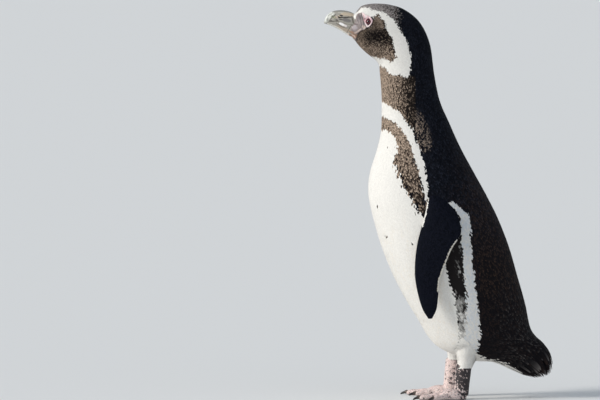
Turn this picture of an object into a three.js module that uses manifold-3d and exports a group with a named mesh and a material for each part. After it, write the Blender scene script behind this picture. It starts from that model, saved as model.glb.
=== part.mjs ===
// Magellanic penguin, standing upright with its neck drawn up, at life size.
//
// Units are millimetres and +Z is up. The bird faces -Y, so its left side is +X.
// The origin is on the floor, below the middle of the bird's own box.
//
// The solids are the outline of the plumage, out to the feather tips. The body is one loft from the
// base of the bill to the end of the tail, parted into head, neck, trunk and tail at shared sections.
// Flippers, feathered legs and webbed feet are lofts of their own, cut back from the body.

import * as THREE from "three";
import { mergeVertices } from "three/addons/utils/BufferGeometryUtils.js";
import Module from "manifold-3d";

const wasm = await Module();
wasm.setup();

// ---------------------------------------------------------------- driving dimensions

const GAP = 0.3; // clearance where two solids meet
const EYE_RADIUS = 7;
const EYE_CENTRE = { x: 18.3, y: -114.5, z: 620.6 };
const SECTION_GAP = 0.03; // of a station's length, left where the body is parted

// Side outline and width of the body, from the base of the bill down to the tip of the tail.
// Each station is a flat section across the body: its front point and back point as [y, z] on the
// middle plane, and its half width. "full" above zero puts the widest part nearer the front.
const BODY = [
  { front: [-139.5, 592.5], back: [-137, 635], half: 13.5, full: 0.05 }, // base of the bill
  { front: [-130, 580], back: [-127, 647], half: 20.5, full: 0.0 }, // brow
  { front: [-117, 568], back: [-108, 651], half: 26.5, full: 0.0 }, // behind the eye
  { front: [-105, 559], back: [-82, 649.5], half: 30, full: -0.05 }, // ear
  { front: [-98.5, 550], back: [-56, 641], half: 31.5, full: -0.08 }, // back of the skull
  { front: [-97, 537], back: [-31, 620], half: 33, full: -0.05 }, // throat
  { front: [-95.5, 520], back: [-14.5, 585], half: 34.5, full: 0.0 }, // nape
  { front: [-94, 497], back: [-7, 534], half: 36.5, full: 0.0 }, // mid neck
  { front: [-94, 469], back: [2, 491], half: 41, full: 0.0 }, // lower neck
  { front: [-95, 441], back: [17, 456], half: 49, full: -0.04 }, // base of the neck
  { front: [-102, 409], back: [35, 416], half: 60, full: -0.06 }, // shoulders
  { front: [-113.5, 371], back: [57, 375], half: 71, full: -0.04 }, // upper breast
  { front: [-115.5, 335], back: [78, 337], half: 79, full: 0.0 }, // breast
  { front: [-106, 290], back: [98, 297], half: 84, full: 0.04 }, // upper belly
  { front: [-90, 239], back: [116, 251], half: 86, full: 0.06 }, // belly
  { front: [-67, 187], back: [130, 203], half: 84, full: 0.06 }, // lower belly
  { front: [-37, 135], back: [143, 157], half: 78, full: 0.04 }, // hips
  { front: [-4, 87], back: [151, 119], half: 66, full: 0.0 }, // vent
  { front: [52, 63], back: [160, 103], half: 51, full: 0.0 }, // rump
  { front: [90, 59], back: [173, 91], half: 41, full: 0.0 }, // root of the tail
  { front: [119, 47], back: [183, 77], half: 36, full: 0.0 }, // tail coverts
  { front: [140, 38], back: [188, 60], half: 33, full: 0.0 }, // tail fan
  { front: [158, 31.5], back: [189.2, 41], half: 26, full: 0.0 }, // tips of the tail
];
const NECK_STARTS = 4.7; // station numbers where the body is parted
const TRUNK_STARTS = 9.3;
const TAIL_STARTS = 18.6;

// Bill, from its base to the hooked tip: top and bottom as [y, z], and half width.
const BILL = [
  { top: [-137.8, 634], bottom: [-139.8, 594.5], half: 12.2 },
  { top: [-149, 638.6], bottom: [-150.5, 600], half: 11 },
  { top: [-163, 640.2], bottom: [-163.5, 608], half: 9.4 },
  { top: [-174.5, 638.3], bottom: [-174.5, 613.5], half: 7.6 },
  { top: [-182, 634], bottom: [-182, 616.5], half: 5.6 },
  { top: [-186.8, 627.5], bottom: [-186.2, 617.5], half: 3.4 },
  { top: [-189.2, 620.5], bottom: [-188.6, 618.2], half: 0.9 },
];
// Line where the two mandibles meet, from behind the base to ahead of the tip, as [y, z].
const GAPE = [
  [-130, 614],
  [-141.6, 615.6],
  [-150, 617.3],
  [-158.5, 619.7],
  [-168.5, 622],
  [-180, 621],
  [-185.4, 619],
  [-188, 612],
];
const GAPE_BLOCK = 60; // height and width of the block that parts the mandibles
const GAPE_BLOCK_AHEAD = 20; // how far it runs past the tip

// Left flipper, from inside the shoulder to the tip. Leading and trailing edge are [x, y, z].
const FLIPPER = [
  { lead: [52, -15, 358], trail: [52, 21, 346], thick: 24 },
  { lead: [72, -19, 338], trail: [70, 25, 320], thick: 20 },
  { lead: [82, -22, 316], trail: [80, 33, 298], thick: 15 },
  { lead: [86, -28, 292], trail: [87, 35, 275], thick: 12 },
  { lead: [88.5, -36, 262], trail: [91, 21, 253], thick: 10 },
  { lead: [90, -40, 232], trail: [93, 9.5, 226], thick: 8.5 },
  { lead: [90.5, -40, 204], trail: [93, 0.5, 201], thick: 7.4 },
  { lead: [90, -35, 176], trail: [92, -2, 174], thick: 6 },
  { lead: [89, -27.5, 152], trail: [90, -4.5, 153], thick: 4.6 },
  { lead: [88, -19, 138], trail: [88.5, -11, 138.5], thick: 2.8 },
];

// Each leg: its distance from the middle plane, where its feathers end as [y, z], how far it leans
// back above that, where its foot stands and how far that is turned out. The bird stands with its
// left foot a little behind the right.
const LEGS = {
  left: { side: 1, x: 36, ankle: [41.5, 52], lean: 8.5, foot: 37, turn: 19 },
  right: { side: -1, x: 36, ankle: [26, 56], lean: 12, foot: 20, turn: 15 },
};
const ANKLE_RADIUS = 13;
const LEG_TOP = { rise: 95, half: 41, reach: 34 }; // above the ankle, inside the trunk
const TARSUS = { top: 12, bottom: 11.6 }; // radii of the bare shank
const FOOT_SINK = 3; // how much of the foot's round underside is cut away flat

// Toes fan out from the foot of the tarsus: length to the claw, angle outwards, and radius.
const TOES = [
  { title: "inner", length: 59, angle: -21, radius: 6.2 },
  { title: "middle", length: 75, angle: 0, radius: 7 },
  { title: "outer", length: 65, angle: 23, radius: 6.4 },
];
const HIND_TOE = { from: 6, to: 15, angle: -128, radius: 4.4, height: 5.5 };
const TOE_ROOT_SWELL = 1.3;
const TOE_TAPER = 0.74;
const TOE_TIP_HEIGHT = 4;
const INSTEP = { half: 17, reach: 25, rise: 14, ahead: -17, above: 4, outward: 1.5 };
const WEB_THICKNESS = 3;
const WEB_REACH = 0.9; // share of each toe's length that the web joins
const WEB_SCALLOP = 0.8; // how far the web's edge is drawn in between two toes
const WEB_HEEL = 6; // how far behind the tarsus the web starts
const CLAW = { length: 13, radius: 2.5, set: 3, height: 5.2 };
const HIND_CLAW = { length: 6, radius: 1.5 };
const CLAW_POINT = 0.25; // radius left at the point
const CLAW_DROP = 0.28; // how far the point hangs, as a share of the length
const CLAW_NARROWNESS = 0.8;

// ---------------------------------------------------------------- materials

const finish = (color, roughness) => new THREE.MeshStandardMaterial({ color, roughness, metalness: 0 });
const MATERIALS = {
  plumage: finish(0x23232a, 0.8),
  horn: finish(0x6f6a62, 0.45),
  skin: finish(0xb08f8a, 0.65),
  eye: finish(0x2a1412, 0.1),
  claw: finish(0x1d1a18, 0.4),
};

// ---------------------------------------------------------------- geometry helpers

// Catmull-Rom curve through numbers that stand at 0, 1, 2 and so on.
function along(values, t) {
  const i = Math.min(Math.max(Math.floor(t), 0), values.length - 2);
  const f = t - i;
  const at = (k) => {
    if (k < 0) return 2 * values[0] - values[1];
    if (k >= values.length) return 2 * values[values.length - 1] - values[values.length - 2];
    return values[k];
  };
  const [a, b, c, d] = [at(i - 1), at(i), at(i + 1), at(i + 2)];
  const bend = 2 * a - 5 * b + 4 * c - d;
  const twist = 3 * b - a - 3 * c + d;
  return b + 0.5 * f * (c - a + f * (bend + f * twist));
}

const column = (stations, pick) => stations.map(pick);
const mix = THREE.MathUtils.lerp;
const radians = THREE.MathUtils.degToRad;

// A closed loft: a capped cylinder whose vertices move to place(s, angle, radius), where s runs from 0
// to 1 along it and radius from 0 at the middle of a cap to 1 on the wall.
function loft(place, rings, sides) {
  const geometry = new THREE.CylinderGeometry(1, 1, 1, sides, rings);
  const position = geometry.getAttribute("position");
  for (let i = 0; i < position.count; i++) {
    const angle = Math.atan2(position.getX(i), position.getZ(i));
    const radius = Math.hypot(position.getX(i), position.getZ(i));
    const p = place(0.5 - position.getY(i), angle, radius);
    position.setXYZ(i, p.x, p.y, p.z);
  }
  return geometry;
}

function signedVolume(geometry) {
  const position = geometry.getAttribute("position");
  const index = geometry.index.array;
  const [a, b, c] = [new THREE.Vector3(), new THREE.Vector3(), new THREE.Vector3()];
  let six = 0;
  for (let i = 0; i < index.length; i += 3) {
    a.fromBufferAttribute(position, index[i]);
    b.fromBufferAttribute(position, index[i + 1]);
    c.fromBufferAttribute(position, index[i + 2]);
    six += a.dot(b.cross(c));
  }
  return six / 6;
}

// The manifold-3d solid of a three.js geometry, with its faces turned outwards.
function solid(geometry) {
  const bare = geometry.clone();
  bare.deleteAttribute("normal");
  bare.deleteAttribute("uv");
  const merged = mergeVertices(bare, 1e-3);
  const triVerts = new Uint32Array(merged.index.array);
  if (signedVolume(merged) < 0) triVerts.reverse();
  const vertProperties = new Float32Array(merged.getAttribute("position").array);
  return new wasm.Manifold(new wasm.Mesh({ numProp: 3, vertProperties, triVerts }));
}

function geometryOf(made) {
  const mesh = made.getMesh();
  const geometry = new THREE.BufferGeometry();
  geometry.setAttribute("position", new THREE.BufferAttribute(mesh.vertProperties, 3));
  geometry.setIndex(new THREE.BufferAttribute(mesh.triVerts, 1));
  geometry.computeVertexNormals();
  return geometry;
}

const joined = (solids) => solids.reduce((all, next) => all.add(next));

// The largest piece of a solid, without crumbs that a cut leaves.
const largest = (made) => made.decompose().sort((a, b) => b.volume() - a.volume())[0];

const penguin = new THREE.Group();

function addPart(group, name, made, material) {
  const mesh = new THREE.Mesh(geometryOf(made), material);
  mesh.name = name;
  group.add(mesh);
  return mesh;
}

// ---------------------------------------------------------------- body

const bodyColumns = {
  frontY: column(BODY, (s) => s.front[0]),
  frontZ: column(BODY, (s) => s.front[1]),
  backY: column(BODY, (s) => s.back[0]),
  backZ: column(BODY, (s) => s.back[1]),
  half: column(BODY, (s) => s.half),
  full: column(BODY, (s) => s.full),
};

// Point of the plumage's surface at station t. The angle is 0 at the front and half a turn at the
// back; grow moves the surface outwards.
function bodyPoint(t, angle, radius = 1, grow = 0) {
  const at = (name) => along(bodyColumns[name], t);
  const middle = new THREE.Vector2((at("frontY") + at("backY")) / 2, (at("frontZ") + at("backZ")) / 2);
  const chord = new THREE.Vector2(at("frontY") - at("backY"), at("frontZ") - at("backZ"));
  const reach = chord.length() / 2 + grow;
  chord.normalize();
  const forward = Math.cos(angle) * reach * radius;
  const sideways = Math.sin(angle) * (at("half") + grow) * (1 + at("full") * Math.cos(angle)) * radius;
  return new THREE.Vector3(sideways, middle.x + chord.x * forward, middle.y + chord.y * forward);
}

function bodyLength(from, to, rings, sides, grow = 0) {
  return solid(loft((s, angle, radius) => bodyPoint(mix(from, to, s), angle, radius, grow), rings, sides));
}

const eyeball = (grow = 0) => new THREE.SphereGeometry(EYE_RADIUS + grow, 16, 10);

// The four lengths of the body, with the same facets at any grow.
const headSolid = (grow = 0) => bodyLength(0, NECK_STARTS, 14, 32, grow);
const neckSolid = () => bodyLength(NECK_STARTS + SECTION_GAP, TRUNK_STARTS, 9, 32);
const trunkSolid = (grow = 0) => bodyLength(TRUNK_STARTS + SECTION_GAP, TAIL_STARTS, 19, 32, grow);
const tailSolid = (grow = 0) => bodyLength(TAIL_STARTS + SECTION_GAP, BODY.length - 1, 7, 24, grow);
const trunkRoom = trunkSolid(GAP).add(tailSolid(GAP)); // kept clear by flippers and legs

function addBody() {
  let head = headSolid();
  for (const [name, side] of [["left", 1], ["right", -1]]) {
    const eye = addPart(penguin, "eye_" + name, solid(eyeball()), MATERIALS.eye);
    eye.position.set(side * EYE_CENTRE.x, EYE_CENTRE.y, EYE_CENTRE.z);
    head = head.subtract(solid(eyeball(GAP).translate(...eye.position)));
  }
  addPart(penguin, "head", largest(head), MATERIALS.plumage);
  addPart(penguin, "neck", neckSolid(), MATERIALS.plumage);
  addPart(penguin, "trunk", trunkSolid(), MATERIALS.plumage);
  addPart(penguin, "tail", tailSolid(), MATERIALS.plumage);
}

// ---------------------------------------------------------------- bill

function billPoint(t, angle, radius) {
  const at = (pick) => along(column(BILL, pick), t);
  const top = new THREE.Vector2(at((s) => s.top[0]), at((s) => s.top[1]));
  const bottom = new THREE.Vector2(at((s) => s.bottom[0]), at((s) => s.bottom[1]));
  const middle = top.clone().add(bottom).multiplyScalar(0.5);
  const half = top.clone().sub(bottom).multiplyScalar(0.5 * Math.cos(angle) * radius);
  const sideways = Math.sin(angle) * at((s) => s.half) * radius;
  return new THREE.Vector3(sideways, middle.x + half.x, middle.y + half.y);
}

// A slab across the bill that holds all that is above the gape line, or below it, moved by shift.
function gapeSide(above, shift) {
  const far = above ? BILL[0].top[1] + GAPE_BLOCK : BILL[0].bottom[1] - GAPE_BLOCK;
  const [lastY, lastZ] = GAPE[GAPE.length - 1];
  const outline = new THREE.Shape();
  GAPE.forEach(([y, z], i) => (i ? outline.lineTo(y, z + shift) : outline.moveTo(y, z + shift)));
  outline.lineTo(lastY - GAPE_BLOCK_AHEAD, lastZ + shift);
  outline.lineTo(lastY - GAPE_BLOCK_AHEAD, far);
  outline.lineTo(GAPE[0][0], far);
  const slab = new THREE.ExtrudeGeometry(outline, { depth: GAPE_BLOCK, bevelEnabled: false, steps: 1 });
  slab.translate(0, 0, -GAPE_BLOCK / 2);
  // The shape's own axes are x and y, and it is drawn here in y and z.
  slab.applyMatrix4(new THREE.Matrix4().set(0, 0, 1, 0, 1, 0, 0, 0, 0, 1, 0, 0, 0, 0, 0, 1));
  return solid(slab);
}

function addBill() {
  const last = BILL.length - 1;
  const bill = solid(loft((s, angle, radius) => billPoint(s * last, angle, radius), 12, 16));
  const free = bill.subtract(headSolid(GAP));
  addPart(penguin, "bill_upper", largest(free.intersect(gapeSide(true, GAP / 2))), MATERIALS.horn);
  addPart(penguin, "bill_lower", largest(free.intersect(gapeSide(false, -GAP / 2))), MATERIALS.horn);
}

// ---------------------------------------------------------------- flippers

function flipperPoint(t, angle, radius) {
  const at = (pick) => along(column(FLIPPER, pick), t);
  const lead = new THREE.Vector3(...[0, 1, 2].map((k) => at((s) => s.lead[k])));
  const trail = new THREE.Vector3(...[0, 1, 2].map((k) => at((s) => s.trail[k])));
  const middle = lead.clone().add(trail).multiplyScalar(0.5);
  const chord = lead.clone().sub(trail).multiplyScalar(0.5);
  // Thickest a third of the way back from the leading edge, thin at the trailing edge.
  const thick = at((s) => s.thick) * 0.5 * (1 + 0.3 * Math.cos(angle));
  return middle
    .addScaledVector(chord, Math.cos(angle) * radius)
    .add(new THREE.Vector3(Math.sin(angle) * thick * radius, 0, 0));
}

function addFlippers() {
  const last = FLIPPER.length - 1;
  const left = solid(loft((s, angle, radius) => flipperPoint(s * last, angle, radius), 16, 14));
  const cut = largest(left.subtract(trunkRoom));
  addPart(penguin, "flipper_left", cut, MATERIALS.plumage);
  addPart(penguin, "flipper_right", cut.mirror([1, 0, 0]), MATERIALS.plumage);
}

// ---------------------------------------------------------------- legs and feet

// Feathered thigh and shank, from inside the trunk down to the ankle.
function legSolid(leg) {
  const [ankleY, ankleZ] = leg.ankle;
  const place = (s, angle, radius) => {
    const swell = 1 - s;
    const flare = THREE.MathUtils.smoothstep(swell, 0, 1);
    const across = mix(ANKLE_RADIUS, LEG_TOP.half, flare) * radius;
    const fore = mix(ANKLE_RADIUS, LEG_TOP.reach, flare) * radius;
    return new THREE.Vector3(
      leg.side * leg.x + Math.sin(angle) * across,
      ankleY + leg.lean * Math.sqrt(swell) + Math.cos(angle) * fore,
      ankleZ + GAP + swell * LEG_TOP.rise,
    );
  };
  return solid(loft(place, 8, 20));
}

// A round limb that narrows from one point to another, ended by half balls.
function limb(from, to, radiusFrom, radiusTo, sides = 10) {
  const length = from.distanceTo(to);
  const shape = new THREE.Shape();
  shape.absarc(0, 0, radiusFrom, -Math.PI / 2, 0, false);
  shape.absarc(0, length, radiusTo, 0, Math.PI / 2, false);
  const profile = shape.getPoints(2).filter((p, i, all) => i === 0 || p.distanceTo(all[i - 1]) > 1e-6);
  profile[0].x = 0;
  profile[profile.length - 1].x = 0;
  const geometry = new THREE.LatheGeometry(profile, sides);
  const turn = new THREE.Quaternion().setFromUnitVectors(
    new THREE.Vector3(0, 1, 0),
    to.clone().sub(from).normalize(),
  );
  geometry.applyQuaternion(turn);
  geometry.translate(from.x, from.y, from.z);
  return solid(geometry);
}

// Direction on the floor, turned from straight ahead towards +X.
const heading = (angle) => new THREE.Vector3(Math.sin(radians(angle)), -Math.cos(radians(angle)), 0);

function webSolid(toes) {
  const ends = toes.map((toe) => heading(toe.angle).multiplyScalar(toe.length * WEB_REACH));
  const outline = new THREE.Shape();
  outline.moveTo(0, WEB_HEEL);
  outline.lineTo(ends[0].x, ends[0].y);
  for (let i = 1; i < ends.length; i++) {
    const pull = ends[i - 1].clone().add(ends[i]).multiplyScalar(0.5 * WEB_SCALLOP);
    outline.quadraticCurveTo(pull.x, pull.y, ends[i].x, ends[i].y);
  }
  return solid(
    new THREE.ExtrudeGeometry(outline, { depth: WEB_THICKNESS, bevelEnabled: false, curveSegments: 8 }),
  );
}

// Claw: a small horn that starts inside the toe's end and curves down to its point.
function clawSolid(root, direction, size, grow = 0) {
  const start = root.clone().addScaledVector(direction, -grow);
  const length = size.length + 2 * grow;
  const across = new THREE.Vector3(-direction.y, direction.x, 0);
  const place = (s, angle, radius) => {
    const r = ((size.radius + grow) * (1 - s) ** 0.75 + CLAW_POINT) * radius;
    return start
      .clone()
      .addScaledVector(direction, s * length)
      .addScaledVector(across, Math.sin(angle) * r * CLAW_NARROWNESS)
      .add(new THREE.Vector3(0, 0, Math.cos(angle) * r - CLAW_DROP * length * s * s));
  };
  return solid(loft(place, 4, 6));
}

// The foot and its claws are made round the point on the floor below the tarsus, pointing ahead, and
// stand in a group that is placed and turned out.
function addLeg(name, leg) {
  addPart(penguin, "leg_" + name, largest(legSolid(leg).subtract(trunkRoom)), MATERIALS.plumage);

  const foot = new THREE.Group();
  foot.position.set(leg.side * leg.x, leg.foot, 0);
  foot.rotation.z = radians(leg.side * leg.turn);
  penguin.add(foot);

  const [ankleY, ankleZ] = leg.ankle;
  const ankle = new THREE.Vector3(0, ankleY - leg.foot, ankleZ);
  ankle.applyAxisAngle(new THREE.Vector3(0, 0, 1), -foot.rotation.z);
  const toes = TOES.map((toe) => ({ ...toe, angle: leg.side * toe.angle }));
  const root = new THREE.Vector3(0, 0, TARSUS.bottom - FOOT_SINK);
  const instep = new THREE.SphereGeometry(1, 12, 8).scale(INSTEP.half, INSTEP.reach, INSTEP.rise);
  instep.translate(leg.side * INSTEP.outward, INSTEP.ahead, INSTEP.above);
  const pieces = [limb(ankle, root, TARSUS.top, TARSUS.bottom, 14), solid(instep), webSolid(toes)];
  const claws = [];
  for (const toe of toes) {
    const way = heading(toe.angle);
    const tip = way.clone().multiplyScalar(toe.length - toe.radius / 2).setZ(TOE_TIP_HEIGHT);
    pieces.push(limb(root, tip, toe.radius * TOE_ROOT_SWELL, toe.radius * TOE_TAPER));
    const clawRoot = way.clone().multiplyScalar(toe.length - CLAW.set).setZ(CLAW.height);
    claws.push({ title: toe.title, root: clawRoot, way, size: CLAW });
  }
  const back = heading(leg.side * HIND_TOE.angle);
  const hindRoot = back.clone().multiplyScalar(HIND_TOE.from).setZ(HIND_TOE.height);
  const hindTip = back.clone().multiplyScalar(HIND_TOE.to).setZ(HIND_TOE.height);
  pieces.push(limb(hindRoot, hindTip, HIND_TOE.radius, HIND_TOE.radius * TOE_TAPER));
  claws.push({ title: "hind", root: hindTip, way: back, size: HIND_CLAW });

  // Only what stands above the floor and ends below the leg's feathers is kept.
  const room = new THREE.BoxGeometry(300, 400, ankleZ).translate(0, 0, ankleZ / 2);
  let whole = joined(pieces).intersect(solid(room));
  for (const claw of claws) {
    whole = whole.subtract(clawSolid(claw.root, claw.way, claw.size, GAP));
    const horn = clawSolid(claw.root, claw.way, claw.size);
    addPart(foot, `claw_${name}_${claw.title}`, horn, MATERIALS.claw);
  }
  addPart(foot, "foot_" + name, largest(whole), MATERIALS.skin);
}

// ---------------------------------------------------------------- the bird

addBody();
addBill();
addFlippers();
for (const [name, leg] of Object.entries(LEGS)) addLeg(name, leg);

export default penguin;
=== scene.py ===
import math

import bpy
import numpy as np
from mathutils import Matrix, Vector, noise
from mathutils.bvhtree import BVHTree
from mathutils.kdtree import KDTree


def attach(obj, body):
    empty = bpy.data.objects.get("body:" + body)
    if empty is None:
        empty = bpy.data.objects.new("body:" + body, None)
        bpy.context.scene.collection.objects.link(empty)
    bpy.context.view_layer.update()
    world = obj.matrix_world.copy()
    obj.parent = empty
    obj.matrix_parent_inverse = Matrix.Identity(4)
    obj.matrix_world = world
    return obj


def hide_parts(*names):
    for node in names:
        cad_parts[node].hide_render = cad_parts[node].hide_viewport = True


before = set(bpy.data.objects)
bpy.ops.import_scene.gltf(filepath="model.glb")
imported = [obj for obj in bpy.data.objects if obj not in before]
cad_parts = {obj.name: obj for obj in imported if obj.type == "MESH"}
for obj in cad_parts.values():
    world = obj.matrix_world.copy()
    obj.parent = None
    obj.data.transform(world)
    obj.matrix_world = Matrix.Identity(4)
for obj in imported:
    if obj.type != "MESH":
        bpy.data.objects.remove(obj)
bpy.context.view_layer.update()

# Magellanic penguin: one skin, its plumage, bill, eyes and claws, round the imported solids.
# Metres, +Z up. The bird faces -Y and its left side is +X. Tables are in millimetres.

MM = 0.001
TAU = 2 * math.pi

# ---------------------------------------------------------------- shape of the body

# Sections from the base of the bill to the end of the tail, in millimetres:
# front point y, z, back point y, z, half width, and how far the widest part lies to the front.
BODY = np.array([
    [-139.5, 592.5, -137, 635, 13.5, 0.05],  # 0 base of the bill
    [-130, 580, -127, 647, 20.5, 0.0],  # 1 brow
    [-117, 568, -108, 651, 26.5, 0.0],  # 2 behind the eye
    [-105, 559, -82, 649.5, 30, -0.05],  # 3 ear
    [-98.5, 550, -56, 641, 31.5, -0.08],  # 4 back of the skull
    [-97, 537, -31, 620, 33, -0.05],  # 5 throat
    [-95.5, 520, -14.5, 585, 34.5, 0.0],  # 6 nape
    [-94, 497, -7, 534, 36.5, 0.0],  # 7 mid neck
    [-94, 469, 2, 491, 41, 0.0],  # 8 lower neck
    [-95, 441, 17, 456, 49, -0.04],  # 9 base of the neck
    [-102, 409, 35, 416, 60, -0.06],  # 10 shoulders
    [-113.5, 371, 57, 375, 71, -0.04],  # 11 upper breast
    [-115.5, 335, 78, 337, 79, 0.0],  # 12 breast
    [-106, 290, 98, 297, 84, 0.04],  # 13 upper belly
    [-90, 239, 116, 251, 86, 0.06],  # 14 belly
    [-67, 187, 130, 203, 84, 0.06],  # 15 lower belly
    [-37, 135, 143, 157, 78, 0.04],  # 16 hips
    [-4, 87, 151, 119, 66, 0.0],  # 17 vent
    [52, 63, 160, 103, 51, 0.0],  # 18 rump
    [90, 59, 173, 91, 41, 0.0],  # 19 root of the tail
    [119, 47, 183, 77, 36, 0.0],  # 20 tail coverts
    [140, 38, 188, 60, 33, 0.0],  # 21 tail fan
    [158, 31.5, 189.2, 41, 26, 0.0],  # 22 tips of the tail
])
NECK_STARTS, TRUNK_STARTS = 4.7, 9.3

# How deep the coat is at each of those stations, from the feather tips down to the skin.
COAT_DEPTH = np.array([
    0.3, 0.7, 1, 1.3, 1.5, 1.6, 1.7, 1.8, 1.9, 2, 2, 2, 2, 2, 2, 2, 2, 2, 2.4, 3.5, 6, 9, 10,
])

# Left flipper: leading edge x, y, z, trailing edge x, y, z, and thickness.
FLIPPER = np.array([
    [52, -15, 358, 52, 21, 346, 24],
    [72, -19, 338, 70, 25, 320, 20],
    [82, -22, 316, 80, 33, 298, 15],
    [86, -28, 292, 87, 35, 275, 12],
    [88.5, -36, 262, 91, 21, 253, 10],
    [90, -40, 232, 93, 9.5, 226, 8.5],
    [90.5, -40, 204, 93, 0.5, 201, 7.4],
    [90, -35, 176, 92, -2, 174, 6],
    [89, -27.5, 152, 90, -4.5, 153, 4.6],
    [88, -19, 138, 88.5, -11, 138.5, 2.8],
])

# Legs: side, distance from the middle plane, ankle y and z, backward lean, foot y, turn of the
# foot, and how far up the front of the ankle is bare.
LEGS = {
    "left": {"side": 1, "x": 36, "ankle": (41.5, 52), "lean": 8.5, "foot": 37, "turn": 19, "bare": 1},
    "right": {"side": -1, "x": 36, "ankle": (26, 56), "lean": 12, "foot": 20, "turn": 15, "bare": 9},
}
ANKLE_RADIUS = 13
LEG_TOP_RISE, LEG_TOP_HALF, LEG_TOP_REACH = 95, 41, 34

# Bill, from its base to the hooked tip: top y, z, bottom y, z and half width.
BILL = np.array([
    [-137.8, 634, -139.8, 594.5, 12.2],
    [-149, 638.6, -150.5, 600, 11],
    [-163, 640.2, -163.5, 608, 9.4],
    [-174.5, 638.3, -174.5, 613.5, 7.6],
    [-182, 634, -182, 616.5, 5.6],
    [-186.8, 627.5, -186.2, 617.5, 3.4],
    [-189.2, 620.5, -188.6, 618.2, 0.9],
])
BILL_ROOT = -0.5  # station where the bill starts, inside the head
LOWER_TIP = 4.86  # station where the lower mandible ends
# Line where the two mandibles meet, from the tip back, as [y, z].
GAPE = np.array([
    [-188, 612], [-185.4, 619], [-180, 621], [-168.5, 622], [-158.5, 619.7], [-150, 617.3],
    [-141.6, 615.6], [-130, 614],
])

EYE_RADIUS = 7
EYE_CENTRE = np.array([18.3, -114.5, 620.6])
EYE_AXIS = np.array([0.941, -0.254, 0.222])
LID_REACH = (4.3, 5.7)  # half width and half height of the opening between the lids
LID_ROUNDNESS = 1.5  # 2 would be an ellipse and 1 a diamond

# Feet, in a frame of their own: the tarsus stands over the origin and the middle toe points to -Y.
TOES = [
    {"title": "inner", "length": 59, "angle": -21, "radius": 6.2},
    {"title": "middle", "length": 75, "angle": 0, "radius": 7},
    {"title": "outer", "length": 65, "angle": 23, "radius": 6.4},
]
HIND_TOE = {"from": 6, "to": 15, "angle": -128, "radius": 4.4, "height": 5.5}
CLAW = {"length": 13, "radius": 2.5, "set": 3, "height": 5.2}
HIND_CLAW = {"length": 6, "radius": 1.5}
CLAW_DROP = 0.28  # how far the point hangs, as a share of the length
WEB_REACH = 0.9  # share of each toe's length that the web joins
WEB_SCALLOP = 0.2  # how far the web's edge is drawn in between two toes
WEB_TOP = 3.6
INSTEP = {"half": 17, "reach": 25, "rise": 14, "ahead": -17, "above": 4, "outward": 1.5}


def spline(values, t):
    """Catmull-Rom curve through values that stand at 0, 1, 2 and so on."""
    v = np.asarray(values, float)
    padded = np.concatenate([[2 * v[0] - v[1]], v, [2 * v[-1] - v[-2]]])
    i = np.clip(np.floor(t).astype(int), 0, len(v) - 2)
    f = t - i
    a, b, c, d = padded[i], padded[i + 1], padded[i + 2], padded[i + 3]
    return b + 0.5 * f * (c - a + f * (2 * a - 5 * b + 4 * c - d + f * (3 * b - a - 3 * c + d)))


def smooth(low, high, v):
    """A soft step from 0 at low to 1 at high."""
    f = np.clip((v - low) / (high - low), 0, 1)
    return f * f * (3 - 2 * f)


def grid(stations, sides):
    """Stations and angles of a tube's points, as two tables with a row to each station."""
    return np.meshgrid(stations, np.arange(sides) * TAU / sides, indexing="ij")


def noise_at(places):
    """Smooth noise, from -1 to 1, at each place."""
    return np.array([noise.noise(Vector(p)) for p in places])


def body_point(t, angle, height=0.0):
    """Point of the plumage's outline at station t. Angle 0 is the front; height is in metres."""
    front_y, front_z, back_y, back_z, half = (spline(BODY[:, k], t) * MM for k in range(5))
    full = spline(BODY[:, 5], t)
    chord_y, chord_z = front_y - back_y, front_z - back_z
    length = np.hypot(chord_y, chord_z)
    forward = np.cos(angle) * (length / 2 + height)
    x = np.sin(angle) * (half + height) * (1 + full * np.cos(angle))
    y = (front_y + back_y) / 2 + chord_y / length * forward
    z = (front_z + back_z) / 2 + chord_z / length * forward
    return np.stack(np.broadcast_arrays(x, y, z), axis=-1)


def flipper_point(side):
    def point(t, angle, height=0.0):
        lead = np.stack([spline(FLIPPER[:, k], t) for k in range(3)], axis=-1) * MM
        trail = np.stack([spline(FLIPPER[:, k], t) for k in range(3, 6)], axis=-1) * MM
        chord = (lead - trail) / 2
        reach = np.linalg.norm(chord, axis=-1, keepdims=True)
        c = np.cos(angle)[..., None]
        p = (lead + trail) / 2 + chord * c * (1 + np.expand_dims(np.asarray(height), -1) / reach)
        thick = spline(FLIPPER[:, 6], t) * MM * 0.5 * (1 + 0.3 * np.cos(angle)) + height
        p[..., 0] += np.sin(angle) * thick
        p[..., 0] *= side
        return p
    return point


def leg_halves(swell):
    """Half width and half depth of a leg, in mm; swell is 0 at the ankle and 1 at the top."""
    flare = smooth(0, 1, swell)
    return [ANKLE_RADIUS + (top - ANKLE_RADIUS) * flare for top in (LEG_TOP_HALF, LEG_TOP_REACH)]


def leg_point(leg):
    ankle_y, ankle_z = leg["ankle"]

    def point(t, angle, height=0.0):
        swell = np.maximum(1 - t, 0)
        across, fore = (half * MM + height for half in leg_halves(swell))
        x = leg["side"] * leg["x"] * MM + np.sin(angle) * across
        y = (ankle_y + leg["lean"] * np.sqrt(swell)) * MM - np.cos(angle) * fore
        z = (ankle_z + (1 - t) * LEG_TOP_RISE) * MM
        return np.stack(np.broadcast_arrays(x, y, z), axis=-1)
    return point


FILLET = 14  # how far from the crease between leg and trunk the coat bridges it
FILLET_ENDS = (15, 40)  # how far above the ankle it ends
LEG_FILLET_STARTS = (0.58, 0.84)  # and between which stations of the leg it comes in


def bridged(distance):
    """How far the coat swells, in metres, at that distance in mm from the other part's outline."""
    return FILLET / 4 * (1 - np.clip(distance / FILLET, 0, 1)) ** 2 * MM


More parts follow.
